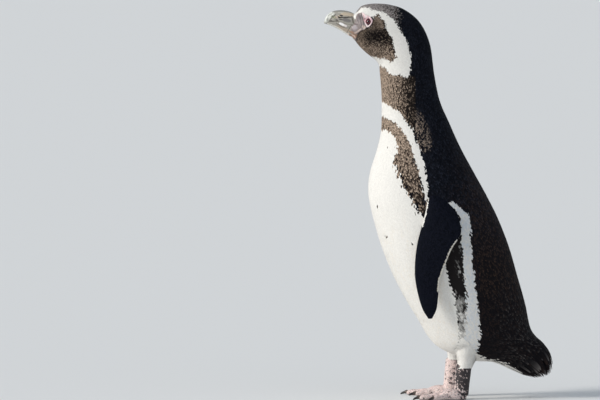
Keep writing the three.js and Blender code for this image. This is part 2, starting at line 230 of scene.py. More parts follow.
def leg_distance(p, signed=False):
    """Distance in mm of points p from the nearer leg's outline. Signed, it is below zero inside one."""
    near = np.full(p.shape[:-1], np.inf)
    for leg in LEGS.values():
        ankle_y, ankle_z = leg["ankle"]
        rise = p[..., 2] / MM - ankle_z
        swell = np.clip(rise / LEG_TOP_RISE, 0, 1)
        across, fore = leg_halves(swell)
        x = p[..., 0] / MM * leg["side"] - leg["x"]
        y = p[..., 1] / MM - ankle_y - leg["lean"] * np.sqrt(swell)
        off = (np.hypot(x / across, y / fore) - 1) * np.minimum(across, fore)
        if not signed:
            off = np.abs(off) + FILLET * smooth(*FILLET_ENDS, rise)
        near = np.minimum(near, np.where(rise < LEG_TOP_RISE, off, np.inf))
    return near


def bill_point(s, angle, height=0.0):
    """Point of the bill's outline at station s. Angle 0 is the ridge and half a turn the underside."""
    top_y, top_z, low_y, low_z, half = (spline(BILL[:, k], s) * MM for k in range(5))
    q = (1 + np.cos(angle)) / 2
    rise_y, rise_z = top_y - low_y, top_z - low_z
    length = np.hypot(rise_y, rise_z)
    lift = height * np.cos(angle)
    x = np.sin(angle) * (half + height)
    y = low_y + rise_y * q + rise_y / length * lift
    z = low_z + rise_z * q + rise_z / length * lift
    return np.stack(np.broadcast_arrays(x, y, z), axis=-1)


def unit(v):
    return v / np.maximum(np.linalg.norm(v, axis=-1, keepdims=True), 1e-12)


def surface_frame(point, t, angle):
    """Along, across and outward unit vectors, and metres per unit of t and of angle."""
    e = 1e-3
    along = (point(t + e, angle) - point(t - e, angle)) / (2 * e)
    across = (point(t, angle + e) - point(t, angle - e)) / (2 * e)
    outward = unit(np.cross(along, across))
    centre = (point(t, angle) + point(t, angle + math.pi)) / 2
    inward = np.sum(outward * (point(t, angle) - centre), axis=-1) < 0
    outward[inward] *= -1
    return along, across, outward


# ---------------------------------------------------------------- markings

CAMERA_ELEVATION = math.radians(3)


def srgb(r, g, b):
    c = np.array([r, g, b]) / 255
    return np.where(c <= 0.04045, c / 12.92, ((c + 0.055) / 1.055) ** 2.4)


BLACK = srgb(6, 9, 17)
BLACK_BROWN = srgb(22, 19, 21)
BROWN_TIP = srgb(88, 68, 56)
TAIL_GREY_AND_SHEEN = srgb(128, 124, 122)
SLATE_TIP_AND_SHEEN = srgb(70, 76, 92)
NAVY = srgb(18, 22, 35)
WHITE = srgb(238, 235, 229)
SOFT_WHITE = srgb(226, 222, 215)
CREAM = srgb(232, 221, 203)
# Painted shade: the flank stripe is white, painted greyer and cooler because it lies on the shaded side.
STRIPE_PAINTED_SHADE = srgb(208, 212, 216)
FLANK_DARK = srgb(30, 27, 27)
DARK_BROWN = srgb(27, 22, 20)
MID_BROWN = srgb(74, 60, 51)
TAN = srgb(240, 214, 190)
CROWN_GREY_AND_TOP_LIGHT = srgb(226, 217, 213)
LORE = srgb(132, 120, 118)
LORE_DARK = srgb(70, 58, 64)
PINK = srgb(230, 198, 200)
PALE_PINK = srgb(238, 218, 217)
RED_PINK = srgb(188, 132, 142)
LID_RIM = srgb(176, 104, 118)
GAPE_SKIN = srgb(170, 160, 162)
ORANGE_SKIN = srgb(148, 112, 84)
PALE_FOLD = srgb(226, 204, 190)
FOOT_PINK = srgb(236, 214, 208)
FOOT_DARK = srgb(28, 19, 24)

# Curves on the bird's side, as [y, z] in millimetres, where z is lowered by the tilt of the view.
LOOP_OUTER = [
    [-146, 639], [-138, 635], [-126, 644], [-116, 644], [-110, 641], [-103, 639], [-95, 638],
    [-88, 634], [-82, 629], [-75, 625], [-72, 620], [-68, 614], [-64, 606], [-59, 599], [-55, 594],
    [-52, 586], [-49, 574], [-47, 566], [-45, 558], [-47, 549], [-47, 541], [-49, 531],
]
THROAT_LOWER = [
    [-50, 530], [-59, 530], [-67, 533], [-77, 533], [-83, 537], [-87, 542], [-93, 546], [-98, 548],
    [-113, 549],
]
LOOP_INNER = [
    [-113, 563], [-103, 562], [-97, 559], [-90, 560], [-83, 556], [-78, 554], [-70, 561], [-72, 566],
    [-73, 578], [-75, 587], [-78, 596], [-83, 602], [-87, 609], [-88, 617], [-92, 624], [-97, 630],
    [-101, 634], [-106, 630], [-121, 630], [-130, 635], [-146, 630],
]
CHEEK_FRONT = [
    [-110, 615], [-120, 609], [-130, 605], [-138, 599], [-146, 594], [-134, 582], [-128, 574],
    [-120, 568], [-113, 563],
]
NECK_BAND_LOWER = [
    [-113, 490], [-93, 488], [-87, 485], [-78, 480], [-70, 475], [-64, 469], [-59, 464],
]
COLLAR_OUTER = [
    [-57, 460], [-52, 452], [-45, 446], [-42, 437], [-39, 427], [-34, 416], [-31, 406], [-27, 393],
    [-24, 381], [-22, 368], [-19, 351], [-19, 318],
]
COLLAR_INNER = [
    [-113, 467], [-92, 465], [-83, 460], [-77, 457], [-70, 452], [-67, 449], [-60, 441], [-55, 434],
    [-50, 426], [-45, 416], [-44, 406], [-42, 396], [-39, 388], [-35, 380], [-32, 368], [-29, 356],
    [-24, 335],
]
BREAST_LOWER = [
    [-113, 444], [-93, 442], [-83, 441], [-78, 436], [-73, 429], [-70, 421], [-68, 409], [-72, 401],
    [-74, 393], [-72, 384], [-68, 376], [-64, 365], [-60, 353], [-54, 343], [-47, 332], [-41, 322],
    [-36, 310], [-30, 302],
]
FLANK_FRONT = [
    [-14, 290], [4, 269], [9, 236], [12, 211], [17, 186], [26, 162], [29, 137], [32, 112], [32, 87],
]
STRIPE_FRONT = [
    [17, 322], [19, 315], [29, 305], [34, 297], [35, 280], [37, 252], [39, 228], [40, 203],
    [44, 178], [45, 153], [45, 129], [42, 96],
]
STRIPE_BACK = [
    [27, 322], [40, 310], [49, 300], [52, 284], [52, 261], [54, 236], [55, 214], [59, 186],
    [62, 162], [65, 137], [67, 112], [65, 87], [62, 76],
]
UNDER_TAIL = [[72, 66], [87, 62.5], [118, 52], [146, 38], [159, 25]]


def curve(points, steps=6):
    """A smooth open curve through points."""
    p = np.array(points, float)
    t = np.linspace(0, len(p) - 1, (len(p) - 1) * steps + 1)
    return np.stack([spline(p[:, 0], t), spline(p[:, 1], t)], axis=-1)


def inside(outline, y, z):
    """Which points lie inside a closed outline."""
    result = np.zeros(np.shape(y), bool)
    for (y0, z0), (y1, z1) in zip(outline, np.roll(outline, -1, axis=0)):
        if z0 != z1:
            result ^= ((z0 > z) != (z1 > z)) & (y < (y1 - y0) * (z - z0) / (z1 - z0) + y0)
    return result


def closed(*parts):
    return np.concatenate(parts)


HEAD_LOOP = closed(curve(LOOP_OUTER), curve(THROAT_LOWER), curve(LOOP_INNER))
CHEEK = closed(curve(LOOP_INNER)[:102], [[-106, 628]], curve(CHEEK_FRONT))
NECK_BAND = closed(
    curve(THROAT_LOWER), curve(NECK_BAND_LOWER), curve(COLLAR_OUTER)[:8], [[-38, 446], [-40, 531]],
)
COLLAR = closed(curve(NECK_BAND_LOWER), curve(COLLAR_OUTER), curve(COLLAR_INNER)[::-1])
BREAST_BAND = closed(curve(COLLAR_INNER), [[-19, 318], [-14, 290]], curve(BREAST_LOWER)[::-1])
BELLY = closed(
    curve(BREAST_LOWER), curve(FLANK_FRONT), [[42, 96], [62, 76]], curve(UNDER_TAIL),
    [[159, 0], [-140, 0], [-140, 444]],
)
FLANK_PATCH = closed(
    [[-26, 302], [-19, 318], [17, 322]], curve(STRIPE_FRONT), curve(FLANK_FRONT)[::-1],
)
STRIPE = closed(curve(STRIPE_FRONT), curve(STRIPE_BACK)[::-1])


def mixed(a, b, f):
    return a + (b - a) * np.asarray(f)[..., None]


def stroke(y, z, points, half):
    """How strongly each place lies on a soft line through points, from 0 to 1. Its ends are thin."""
    near = np.full(np.shape(y), np.inf)
    run = np.zeros(np.shape(y))
    total = 0
    for (y0, z0), (y1, z1) in zip(points, points[1:]):
        dy, dz = y1 - y0, z1 - z0
        f = np.clip(((y - y0) * dy + (z - z0) * dz) / (dy * dy + dz * dz), 0, 1)
        away = np.hypot(y - y0 - f * dy, z - z0 - f * dz)
        run = np.where(away < near, total + f * math.hypot(dy, dz), run)
        near = np.minimum(near, away)
        total += math.hypot(dy, dz)
    share = run / total
    width = half * (STROKE_END + (1 - STROKE_END) * np.sqrt(4 * share * (1 - share)))
    return 1 - smooth(0.5 * width, 1.5 * width, near)


STROKE_END = 0.55  # width of a stroke's ends, as a share of its middle
WAVER = 0.55  # how far a painted line strays
WAVER_LENGTH = 3.2
WAVER_APART = 40  # between the noise that shifts places along y and the one along z


def wavering(y, z):
    """The same places shifted a little, so that what is painted there gets uneven edges."""
    places = np.stack([y, z, np.zeros(len(y))], axis=-1) / WAVER_LENGTH
    return y + WAVER * noise_at(places), z + WAVER * noise_at(places + WAVER_APART)


def brushed(colours, y, z, strokes):
    """The colours with each stroke (colour, half width, strength, points) painted over them."""
    y, z = wavering(y, z)
    for colour, half, strength, points in strokes:
        colours = mixed(colours, colour, strength * stroke(y, z, points, half))
    return colours


def side_view(p):
    """Places of points p as the side view shows them, y and z in millimetres."""
    return p[..., 1] / MM, (p[..., 2] - np.abs(p[..., 0]) * math.tan(CAMERA_ELEVATION)) / MM


def scattered(places, y, z, radius):
    near = np.min([np.hypot(y - a, z - b) for a, b in places], axis=0)
    return near < radius


# Single dark spots on the belly, as [y, z]. Each side has its own.
SPOTS = {
    1: [[-103, 314], [-88, 266], [-44, 256], [-83, 414], [-75, 412], [-60, 350]],
    -1: [[-96, 338], [-70, 296], [-92, 402], [-52, 232], [-81, 371]],
}
SPOT_RADIUS = 1.5
# Where the shoulder's feathers have pale edges: the line along which they lie.
SHOULDER_SHEEN = [[-46, 474], [-34, 452], [-27, 432], [-22, 412]]
# The darkest part of the cheek and its greyer corner behind the eye.
CHEEK_REAR = [[-90, 617], [-84, 603], [-77, 588], [-73, 572]]
CHEEK_CORNER = [[-103, 630], [-99, 620], [-92, 612]]


GRAIN = (1.9, 2.4)  # size of the groups of feathers with pale tips


def streaks(x, y, z, width, length):
    """A value from -1 to 1 at each place that runs in streaks of about that size along z."""
    places = np.stack([x / width, y / width, z / length], axis=-1)
    return noise_at(places)


UNDER_TAIL_SLOPE, RUMP_SLOPE = math.radians(-30), math.radians(-60)


def sloped(y, z, slope):
    """Distances across and along a line that slopes so, in the side view."""
    sine, cosine = math.sin(slope), math.cos(slope)
    return np.stack([-sine * y + cosine * z, cosine * y + sine * z])


STRAY = 1.5  # furthest that a marking's edge is jittered
TIPPED = 0.4  # share of the back's feathers with strong brown tips
# The crown's grey speckle is partly the feathers' own pale tips and partly painted light on the top of the
# head.
CROWN_LOW, CROWN_BACK = 603, -60  # z above which and y before which the crown is grey
FRAY_TOP = 410  # z below which the breast band frays
TAIL_FRONT = 70  # y behind which the white below the tail has a streaky edge
# Width and length of streaks.
RUMP_STREAKS, TAIL_STREAKS, BAND_STREAKS = (1.8, 26), (2.2, 16), (3, 18)
FLANK_STREAKS, WARM_STREAKS = (3.4, 34), (3, 36)
# Share of pale tips in the throat band along y, in the breast band along z, and of dark feathers in
# the flank patch along z. The patch's grey, streaky lower end over the top of the leg is painted shade
# of the crease between belly and leg.
NECK_SHARE = ([-95, -85, -62, -45], [1.0, 0.85, 0.34, -0.1])
BAND_SHARE = ([300, 350, 400, 450], [0.1, 0.32, 0.58, 0.88])
FLANK_COVER_AND_SHADE = ([76, 92, 108, 128, 150, 170, 215], [-0.6, 0.0, 0.4, 0.68, 0.84, 0.95, 1.3])


def body_colours(p, rng, ragged=1.0):
    """Root and tip colour of a feather that shows at each point p; ragged jitters the edges, in mm."""
    n = len(p)
    x = p[:, 0] / MM
    y, z = side_view(p)
    y = y + ragged * np.clip(rng.normal(0, 1, n), -STRAY, STRAY)
    z = z + ragged * np.clip(rng.normal(0, 1, n), -STRAY, STRAY)
    luck = rng.random(n)
    fleck = rng.random(n)

    # Black above, with browner worn tips on the back and a paler shoulder.
    worn = smooth(560, 300, z) * smooth(0, 80, y)
    root = mixed(BLACK, BLACK_BROWN, 0.5 * worn)
    dull = 1 - 0.6 * smooth(220, 120, z)
    chosen = 0.15 + 0.85 * (luck > 1 - TIPPED)
    tip = mixed(root, BROWN_TIP, chosen * (0.5 + 0.5 * fleck) * (0.08 + 0.8 * worn) * dull)
    # Bluish-grey tips on the back: partly the feathers' own pale edges, partly painted sheen.
    tip = mixed(tip, SLATE_TIP_AND_SHEEN, 0.45 * fleck ** 2 * smooth(200, 330, z))
    # Grey strands on the rump and tail: partly pale feather edges, partly painted sheen.
    rump = smooth(70, 140, y) * smooth(250, 130, z)
    strands = np.zeros(n)
    lower = rump > 0
    strands[lower] = streaks(x[lower], *sloped(y, z, RUMP_SLOPE)[:, lower], *RUMP_STREAKS)
    tip = mixed(tip, TAIL_GREY_AND_SHEEN, 0.6 * rump * smooth(0.05, 0.4, strands) * (0.4 + 0.6 * luck))
    sheen = stroke(y, z, SHOULDER_SHEEN, 11) * (fleck > 0.35)
    tip = mixed(tip, TAN, 0.75 * sheen * luck)

    def paint(mask, low, high, share=None):
        share = luck if share is None else share
        colours = mixed(low, high, np.clip(share, 0, 1))
        root[mask] = 0.92 * colours[mask]
        tip[mask] = colours[mask]

    def speckle(mask, dark, pale, share, contrast=1.0):
        """Dark feathers of which about that share has pale tips, in small groups."""
        grain = np.zeros(n)
        grain[mask] = streaks(x[mask], y[mask], z[mask], *GRAIN)
        depth = np.clip((share + 0.35 * grain - luck) * 1.8 + 0.62, 0, 1) * (0.78 + 0.22 * fleck)
        depth = 0.7 * share + (depth - 0.7 * share) * contrast
        colours = mixed(dark, MID_BROWN, 0.5 * fleck * smooth(0, 0.4, share))
        root[mask] = colours[mask]
        tip[mask] = mixed(colours, pale, depth)[mask]

    # Grey speckled crown: partly pale tips, partly painted light where the top of the head is lit.
    crown = (z > CROWN_LOW) & (y < CROWN_BACK)
    crown_share = 0.7 + 0.3 * smooth(-84, -118, y) - 0.75 * smooth(-80, -61, y)
    speckle(crown, BLACK, CROWN_GREY_AND_TOP_LIGHT, crown_share)

    speckle(inside(NECK_BAND, y, z), DARK_BROWN, TAN, np.interp(y, *NECK_SHARE))
    low = z < FRAY_TOP
    frayed = y.copy()
    fray = 11 * streaks(x[low], y[low], z[low], *BAND_STREAKS) + 9 * (fleck[low] - 0.5)
    frayed[low] += fray * smooth(FRAY_TOP, 370, z[low])
    tail = y > TAIL_FRONT
    hem = z.copy()
    hem[tail] += 8 * streaks(x[tail], *sloped(y, z, UNDER_TAIL_SLOPE)[:, tail], *TAIL_STREAKS)
    belly = inside(BELLY, y, hem)
    paint(belly, SOFT_WHITE, WHITE, 0.75 + 0.25 * luck)
    warm = np.zeros(n)
    warm[belly] = smooth(0, 0.45, streaks(x[belly], y[belly], z[belly], *WARM_STREAKS))
    warm[belly] *= smooth(340, 220, z[belly])
    tip = mixed(tip, CREAM, 0.7 * warm)
    paint(inside(COLLAR, y, z), SOFT_WHITE, WHITE, 0.5 + 0.5 * luck)
    band = inside(BREAST_BAND, frayed, z) & ~inside(COLLAR, y, z)
    speckle(band, DARK_BROWN, TAN, np.interp(z, *BAND_SHARE))
    # The flank patch: a black marking above, and grey streaks below it that are painted shade in the
    # crease above the leg.
    patch = inside(FLANK_PATCH, y, z)
    cover = np.interp(z, *FLANK_COVER_AND_SHADE)
    cover[patch] += 0.8 * streaks(x[patch], y[patch], z[patch], *FLANK_STREAKS)
    paint(patch, WHITE, FLANK_DARK, cover + 0.16 * (luck - 0.5))
    # The flank stripe: white, with greyer feathers among it that are painted shade.
    paint(inside(STRIPE, y, z), STRIPE_PAINTED_SHADE, SOFT_WHITE, luck)

    # The cheek's tan flecks grow towards its lower front: partly its own flecks, partly painted light
    # where the face is lit.
    cheek_share = -0.06 + 0.62 * smooth(594, 570, z) + 0.4 * smooth(-114, -130, y)
    cheek_share += 0.3 * smooth(600, 612, z)
    cheek_share *= 1 - 0.85 * stroke(y, z, CHEEK_REAR, 4.5)
    cheek_share += 0.35 * stroke(y, z, CHEEK_CORNER, 4)
    speckle(inside(CHEEK, y, z), DARK_BROWN, TAN, cheek_share, 1 - 0.6 * smooth(578, 604, z))
    paint(inside(HEAD_LOOP, y, z), SOFT_WHITE, WHITE, 0.5 + 0.5 * luck)
    for side, places in SPOTS.items():
        spots = (p[:, 0] * side > 0) & scattered(places, y, z, SPOT_RADIUS)
        paint(spots, BLACK_BROWN, MID_BROWN)
    return root, tip


# Bare skin of the face, between the bill, the eye and the chin.
BARE_FACE = [
    [-146, 627], [-139.4, 632.8], [-134.5, 634.9], [-128.6, 636], [-125, 637.4], [-121.4, 633.4],
    [-116.5, 631.4], [-112, 628.2], [-108.4, 622.8], [-110.4, 617.4], [-113.4, 613.6], [-116.4, 611.6],
    [-119.6, 610.2], [-122.9, 607.2], [-127, 606.2], [-130.3, 603.9], [-133.2, 601.4],
    [-133.6, 597], [-136, 591.5], [-141, 586], [-152.6, 590], [-162.5, 610.5],
]
GAPE_CORNER = [[-142, 617.4], [-134, 616.6]]
FACE_STROKES = [
    (LORE_DARK, 3.8, 0.8, [[-131.5, 631], [-129.5, 625]]),
    (LORE_DARK, 1.2, 0.7, [[-134.5, 627], [-132, 619]]),
    (PALE_PINK, 2.6, 0.9, [[-125.4, 635.6], [-121.8, 629.5], [-117, 630]]),
    (RED_PINK, 0.8, 0.75, [[-124.6, 632], [-123, 627], [-122.6, 621]]),
    (LORE_DARK, 0.6, 0.8, [[-127.2, 634.5], [-126, 628.6], [-124.8, 622.9]]),
    (LORE_DARK, 0.7, 0.8, [[-130.3, 631.1], [-128.7, 625.4]]),
    (GAPE_SKIN, 4.2, 0.9, [[-141, 611.3], [-136.1, 610.5]]),
    (PALE_FOLD, 2.2, 0.6, [[-124.6, 613.8], [-121.3, 608]]),
    (ORANGE_SKIN, 3.6, 0.75, [[-147, 600], [-139, 597], [-131, 597]]),
    (ORANGE_SKIN, 1.4, 0.7, [[-146, 604.7], [-139, 602.4]]),
    (PALE_FOLD, 0.8, 0.7, [[-143, 599.5], [-139.5, 597.8], [-137, 594]]),
    (PALE_FOLD, 1.2, 0.6, [[-143, 592], [-139, 590.5], [-134, 586]]),
    (PALE_FOLD, 1.1, 0.6, [[-138.5, 601.8], [-132.8, 604.9], [-127.9, 608.9]]),
    (LORE_DARK, 0.4, 0.6, [[-124.6, 622.9], [-122.9, 617.1], [-123.8, 610.5]]),
    (LORE_DARK, 0.4, 0.6, [[-128.7, 622], [-127, 615.4], [-129.5, 608.9]]),
    (LORE_DARK, 0.6, 0.95, GAPE_CORNER),
    (WHITE, 1.9, 0.95, [[-138.2, 626.4], [-138.5, 630.3], [-136.3, 634.4], [-132.2, 637]]),
]
# Folds of the bare face: height (a furrow is below zero), half width and line.
FACE_FOLDS = [
    (-0.5, 0.6, [[-126.6, 633.9], [-125.7, 628.6], [-124.2, 622.9]]),
    (-0.35, 0.5, [[-130.3, 631.1], [-128.7, 625.4]]),
    (-0.5, 0.5, [[-124.6, 622.9], [-122.9, 617.1], [-123.8, 610.5]]),
    (-0.45, 0.5, [[-128.7, 622], [-127, 615.4], [-129.5, 608.9]]),
    (0.5, 1.1, [[-137.8, 599.8], [-132.8, 604.7], [-127.9, 608.9]]),
    (-1.0, 0.6, GAPE_CORNER),
    (0.9, 1.5, [[-137.4, 626.4], [-137.6, 630.3], [-135.6, 634.4]]),
]


def eye_frame(p):
    """Distances of points p from the eye's centre, in mm: forwards, up and out along its axis."""
    q = np.stack([np.abs(p[..., 0]), p[..., 1], p[..., 2]], axis=-1) / MM - EYE_CENTRE
    up = np.array([0, 0, 1]) - EYE_AXIS[2] * EYE_AXIS
    up /= np.linalg.norm(up)
    return q @ np.cross(EYE_AXIS, up), q @ up, q @ EYE_AXIS


def lid_distance(p):
    """How far out from the eye points p lie, where 1 is the free edge of the lids."""
    ahead, up, _ = eye_frame(p)
    k = LID_ROUNDNESS
    return ((np.abs(ahead) / LID_REACH[0]) ** k + (np.abs(up) / LID_REACH[1]) ** k) ** (1 / k)


def face_colours(p):
    """Colours of the bare skin of the face."""
    y, z = side_view(p)
    colours = brushed(LORE, y, z, FACE_STROKES)
    d = lid_distance(p)
    ahead, up, _ = eye_frame(p)
    forward = ahead / np.maximum(np.hypot(ahead, up), 0.1)
    ring = np.interp(forward, [-0.5, 0.6], [2.6, 1.55])
    low = smooth(0, -4, up)[..., None]
    pink = mixed(PINK, RED_PINK, 0.5 * smooth(-0.2, 0.7, forward))
    pink = pink * (1 - low) + PALE_PINK * low
    colours = mixed(colours, pink, 1 - smooth(ring - 0.25, ring + 0.15, d))
    return mixed(colours, LID_RIM, 1 - smooth(1.0, 1.14, d))


# ---------------------------------------------------------------- materials


def new_material(name, roughness):
    material = bpy.data.materials.new(name)
    material.use_nodes = True
    shader = material.node_tree.nodes["Principled BSDF"]
    shader.inputs["Roughness"].default_value = roughness
    return material, material.node_tree, shader


def node(tree, kind, **settings):
    made = tree.nodes.new(kind)
    for key, value in settings.items():
        setattr(made, key, value)
    return made


def multiply(tree, colour, factor):
    """Colour times a factor or a second colour."""
    made = node(tree, "ShaderNodeMix", data_type="RGBA", blend_type="MULTIPLY")
    sockets = {socket.identifier: socket for socket in made.inputs}
    sockets["Factor_Float"].default_value = 1
    tree.links.new(colour, sockets["A_Color"])
    tree.links.new(factor, sockets["B_Color"])
    return next(socket for socket in made.outputs if socket.identifier == "Result_Color")


def noise_map(tree, where, scale, low, high, detail=3, kind="ShaderNodeTexNoise"):
    """A pattern of that scale, spread from low to high."""
    pattern = node(tree, kind)
    pattern.inputs["Scale"].default_value = scale
    if "Detail" in pattern.inputs:
        pattern.inputs["Detail"].default_value = detail
    spread = node(tree, "ShaderNodeMapRange")
    spread.inputs["From Min"].default_value = 0.25
    spread.inputs["From Max"].default_value = 0.75
    spread.inputs["To Min"].default_value = low
    spread.inputs["To Max"].default_value = high
    tree.links.new(where, pattern.inputs["Vector"])
    tree.links.new(pattern.outputs[0], spread.inputs["Value"])
    return spread.outputs["Result"]


def add_bump(tree, shader, height, distance):
    bump = node(tree, "ShaderNodeBump")
    bump.inputs["Strength"].default_value = 1
    bump.inputs["Distance"].default_value = distance
    tree.links.new(height, bump.inputs["Height"])
    tree.links.new(bump.outputs["Normal"], shader.inputs["Normal"])


def painted_material(name, roughness, mottle, bump, stretch=(1, 1, 1), grain="ShaderNodeTexNoise"):
    """The mesh's own colours under a mottle (scale, low, high), with a bump (scale, distance)."""
    material, tree, shader = new_material(name, sum(roughness) / 2)
    colour = node(tree, "ShaderNodeVertexColor", layer_name="Colour")
    place = node(tree, "ShaderNodeTexCoord")
    mapping = node(tree, "ShaderNodeMapping")
    mapping.inputs["Scale"].default_value = stretch
    tree.links.new(place.outputs["Object"], mapping.inputs["Vector"])
    where = mapping.outputs["Vector"]
    shade = multiply(tree, colour.outputs["Color"], noise_map(tree, where, *mottle))
    tree.links.new(shade, shader.inputs["Base Color"])
    tree.links.new(noise_map(tree, where, mottle[0] / 3, *roughness), shader.inputs["Roughness"])
    add_bump(tree, shader, noise_map(tree, where, bump[0], 0, 1, 4, grain), bump[1])
    return material, shader


def plumage_material():
    material, shader = painted_material("feathers", (0.6, 0.85), (420, 0.92, 1.06), (1100, 0.0003))
    shader.inputs["Specular IOR Level"].default_value = 0.06
    return material


def skin_material():
    material, shader = painted_material(
        "bare_hide", (0.42, 0.65), (650, 0.82, 1.12), (1500, 0.0003), grain="ShaderNodeTexVoronoi",
    )
    shader.inputs["Subsurface Weight"].default_value = 0.08
    shader.inputs["Subsurface Radius"].default_value = (0.003, 0.0012, 0.001)
    return material


def bill_material():
    material, shader = painted_material(
        "bill_keratin", (0.22, 0.48), (330, 0.8, 1.15), (900, 0.00025), stretch=(1, 0.35, 1),
    )
    shader.inputs["Coat Weight"].default_value = 0.3
    shader.inputs["Coat Roughness"].default_value = 0.25
    return material


def claw_material():
    return painted_material("claw_keratin", (0.25, 0.5), (600, 0.75, 1.2), (1300, 0.0002))[0]


def eye_material():
    material, shader = painted_material("wet_eye", (0.05, 0.09), (1400, 0.75, 1.25), (300, 0.00001))
    shader.inputs["Specular IOR Level"].default_value = 0.35
    shader.inputs["Coat Weight"].default_value = 0.5
    shader.inputs["Coat Roughness"].default_value = 0.03
    return material


# ---------------------------------------------------------------- meshes from arrays


def mesh_from(name, vertices, faces, colours=None, uvs=None, normals=None):
    """faces is a list of index arrays, each with one row per face."""
    mesh = bpy.data.meshes.new(name)
    loops = np.concatenate([f.ravel() for f in faces]).astype(np.int32)
    sizes = np.concatenate([np.full(len(f), f.shape[1]) for f in faces]).astype(np.int32)
    starts = np.concatenate([[0], np.cumsum(sizes)[:-1]]).astype(np.int32)
    mesh.vertices.add(len(vertices))
    mesh.vertices.foreach_set("co", np.asarray(vertices, np.float32).ravel())
    mesh.loops.add(len(loops))
    mesh.loops.foreach_set("vertex_index", loops)
    mesh.polygons.add(len(sizes))
    mesh.polygons.foreach_set("loop_start", starts)
    mesh.update(calc_edges=True)
    if colours is not None:
        set_colours(mesh, colours)
    if uvs is not None:
        layer = mesh.uv_layers.new(name="OFBake")
        layer.data.foreach_set("uv", np.asarray(uvs, np.float32)[loops].ravel())
    mesh.polygons.foreach_set("use_smooth", np.ones(len(sizes), bool))
    if normals is not None:
        mesh.normals_split_custom_set_from_vertices(np.asarray(normals, np.float32))
    return mesh


def set_colours(mesh, colours):
    layer = mesh.color_attributes.new("Colour", "FLOAT_COLOR", "POINT")
    rgba = np.ones((len(mesh.vertices), 4), np.float32)
    rgba[:, :3] = colours
    layer.data.foreach_set("color", rgba.ravel())


def coordinates(mesh, attribute="co"):
    flat = np.empty(3 * len(mesh.vertices), np.float32)
    source = mesh.vertices if attribute == "co" else mesh.vertex_normals
    source.foreach_get("co" if attribute == "co" else "vector", flat)
    return flat.reshape(-1, 3).astype(float)


def add_object(name, mesh):
    made = bpy.data.objects.new(name, mesh)
    bpy.context.collection.objects.link(made)
    return made


def add_piece(name, mesh, material, replaces=()):
    piece = add_object(name, mesh)
    mesh.materials.clear()
    mesh.materials.append(material)
    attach(piece, "root")
    if replaces:
        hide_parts(*replaces)
    return piece


def evaluated_mesh(holder):
    """A copy of an object's mesh with its modifiers applied; the object itself is removed."""
    bpy.context.view_layer.update()
    graph = bpy.context.evaluated_depsgraph_get()
    mesh = bpy.data.meshes.new_from_object(holder.evaluated_get(graph))
    bpy.data.objects.remove(holder)
    return mesh


def outwards(vertices, faces):
    """The same closed mesh with its faces pointing out."""
    volume = 0
    for f in faces:
        a, b, c = vertices[f[:, 0]], vertices[f[:, 1]], vertices[f[:, 2]]
        volume += np.sum(a * np.cross(b, c))
        if f.shape[1] == 4:
            volume += np.sum(a * np.cross(c, vertices[f[:, 3]]))
    return vertices, [f if volume > 0 else f[:, ::-1] for f in faces]


def lofted(rings):
    """Vertices and faces of a closed tube over rings of points, with both ends capped by fans."""
    count, sides = rings.shape[:2]
    vertices = np.concatenate([rings.reshape(-1, 3), rings[:1].mean(axis=1), rings[-1:].mean(axis=1)])
    i = np.arange(count - 1)[:, None] * sides
    j = np.arange(sides)[None, :]
    k = (j + 1) % sides
    quads = np.stack([i + j, i + k, i + sides + k, i + sides + j], axis=-1).reshape(-1, 4)
    ends = []
    for centre, base, turn in ((count * sides, 0, -1), (count * sides + 1, (count - 1) * sides, 1)):
        ring = base + np.arange(sides)
        after = base + (np.arange(sides) + 1) % sides
        ends.append(np.stack([np.full(sides, centre), ring, after], axis=-1)[:, ::turn])
    # Each cap's fan is turned so that it agrees with the walls beside it.
    return outwards(vertices, [quads, np.concatenate(ends)])


def merged(parts):
    """One mesh's vertices and faces from those of several closed ones."""
    vertices, faces, start = [], [], 0
    for part_vertices, part_faces in parts:
        vertices.append(part_vertices)
        faces += [f + start for f in part_faces]
        start += len(part_vertices)
    return np.concatenate(vertices), faces


# ---------------------------------------------------------------- skin

SKIN_SIDES = 360
SKIN_RAGGED = 0.3  # how far the markings' edges are jittered on the skin
EYE_ANGLE = 1.898  # of the body's outline, on the left side
BILL_LIP = 1.6  # how far the skin turns in at the base of the bill
# How far forward the skin reaches over the base of the bill, at some heights.
LIP_REACH = (
    [588, 595, 602, 609, 615, 621, 627, 631, 636], [0, 2.6, 5.6, 6.4, 4.2, 0.8, 1.6, 3.2, 0.6],
)
LID_PROFILE = ([0, 0.95, 1.0, 1.06, 1.2, 1.6], [-1.8, -1.5, 0.25, 0.65, 0.9, 0.6])
FURROW = 0.35  # round the lids


def body_angles():
    """Angles round the body, closest together at the eyes."""
    fine = np.linspace(0, TAU, 2001)
    away = np.minimum(np.abs(fine - EYE_ANGLE), np.abs(fine - (TAU - EYE_ANGLE)))
    density = 1 + 6 * np.exp(-((away / 0.24) ** 4))
    total = np.cumsum(density) - density[0]
    return np.interp(np.arange(SKIN_SIDES) * total[-1] / SKIN_SIDES, total, fine)


def with_lids(p):
    """The face's surface, opened round the eyes and raised into lids."""
    ahead, up, out = eye_frame(p)
    d = lid_distance(p)
    from_axis = np.hypot(ahead, up) / np.maximum(d, 1)
    ball = np.sqrt(np.maximum(EYE_RADIUS ** 2 - from_axis ** 2, 0))
    lid = ball + np.interp(d, *LID_PROFILE)
    away = smooth(1.15, 1.75, d)
    shaped = lid * (1 - away) + (out - FURROW * np.exp(-(((d - 1.85) / 0.18) ** 2))) * away
    move = np.where((out > 0) & (d < 3), shaped - out, 0)
    axis = EYE_AXIS * np.stack([np.sign(p[..., 0]), np.ones_like(out), np.ones_like(out)], axis=-1)
    return p + axis * move[..., None] * MM


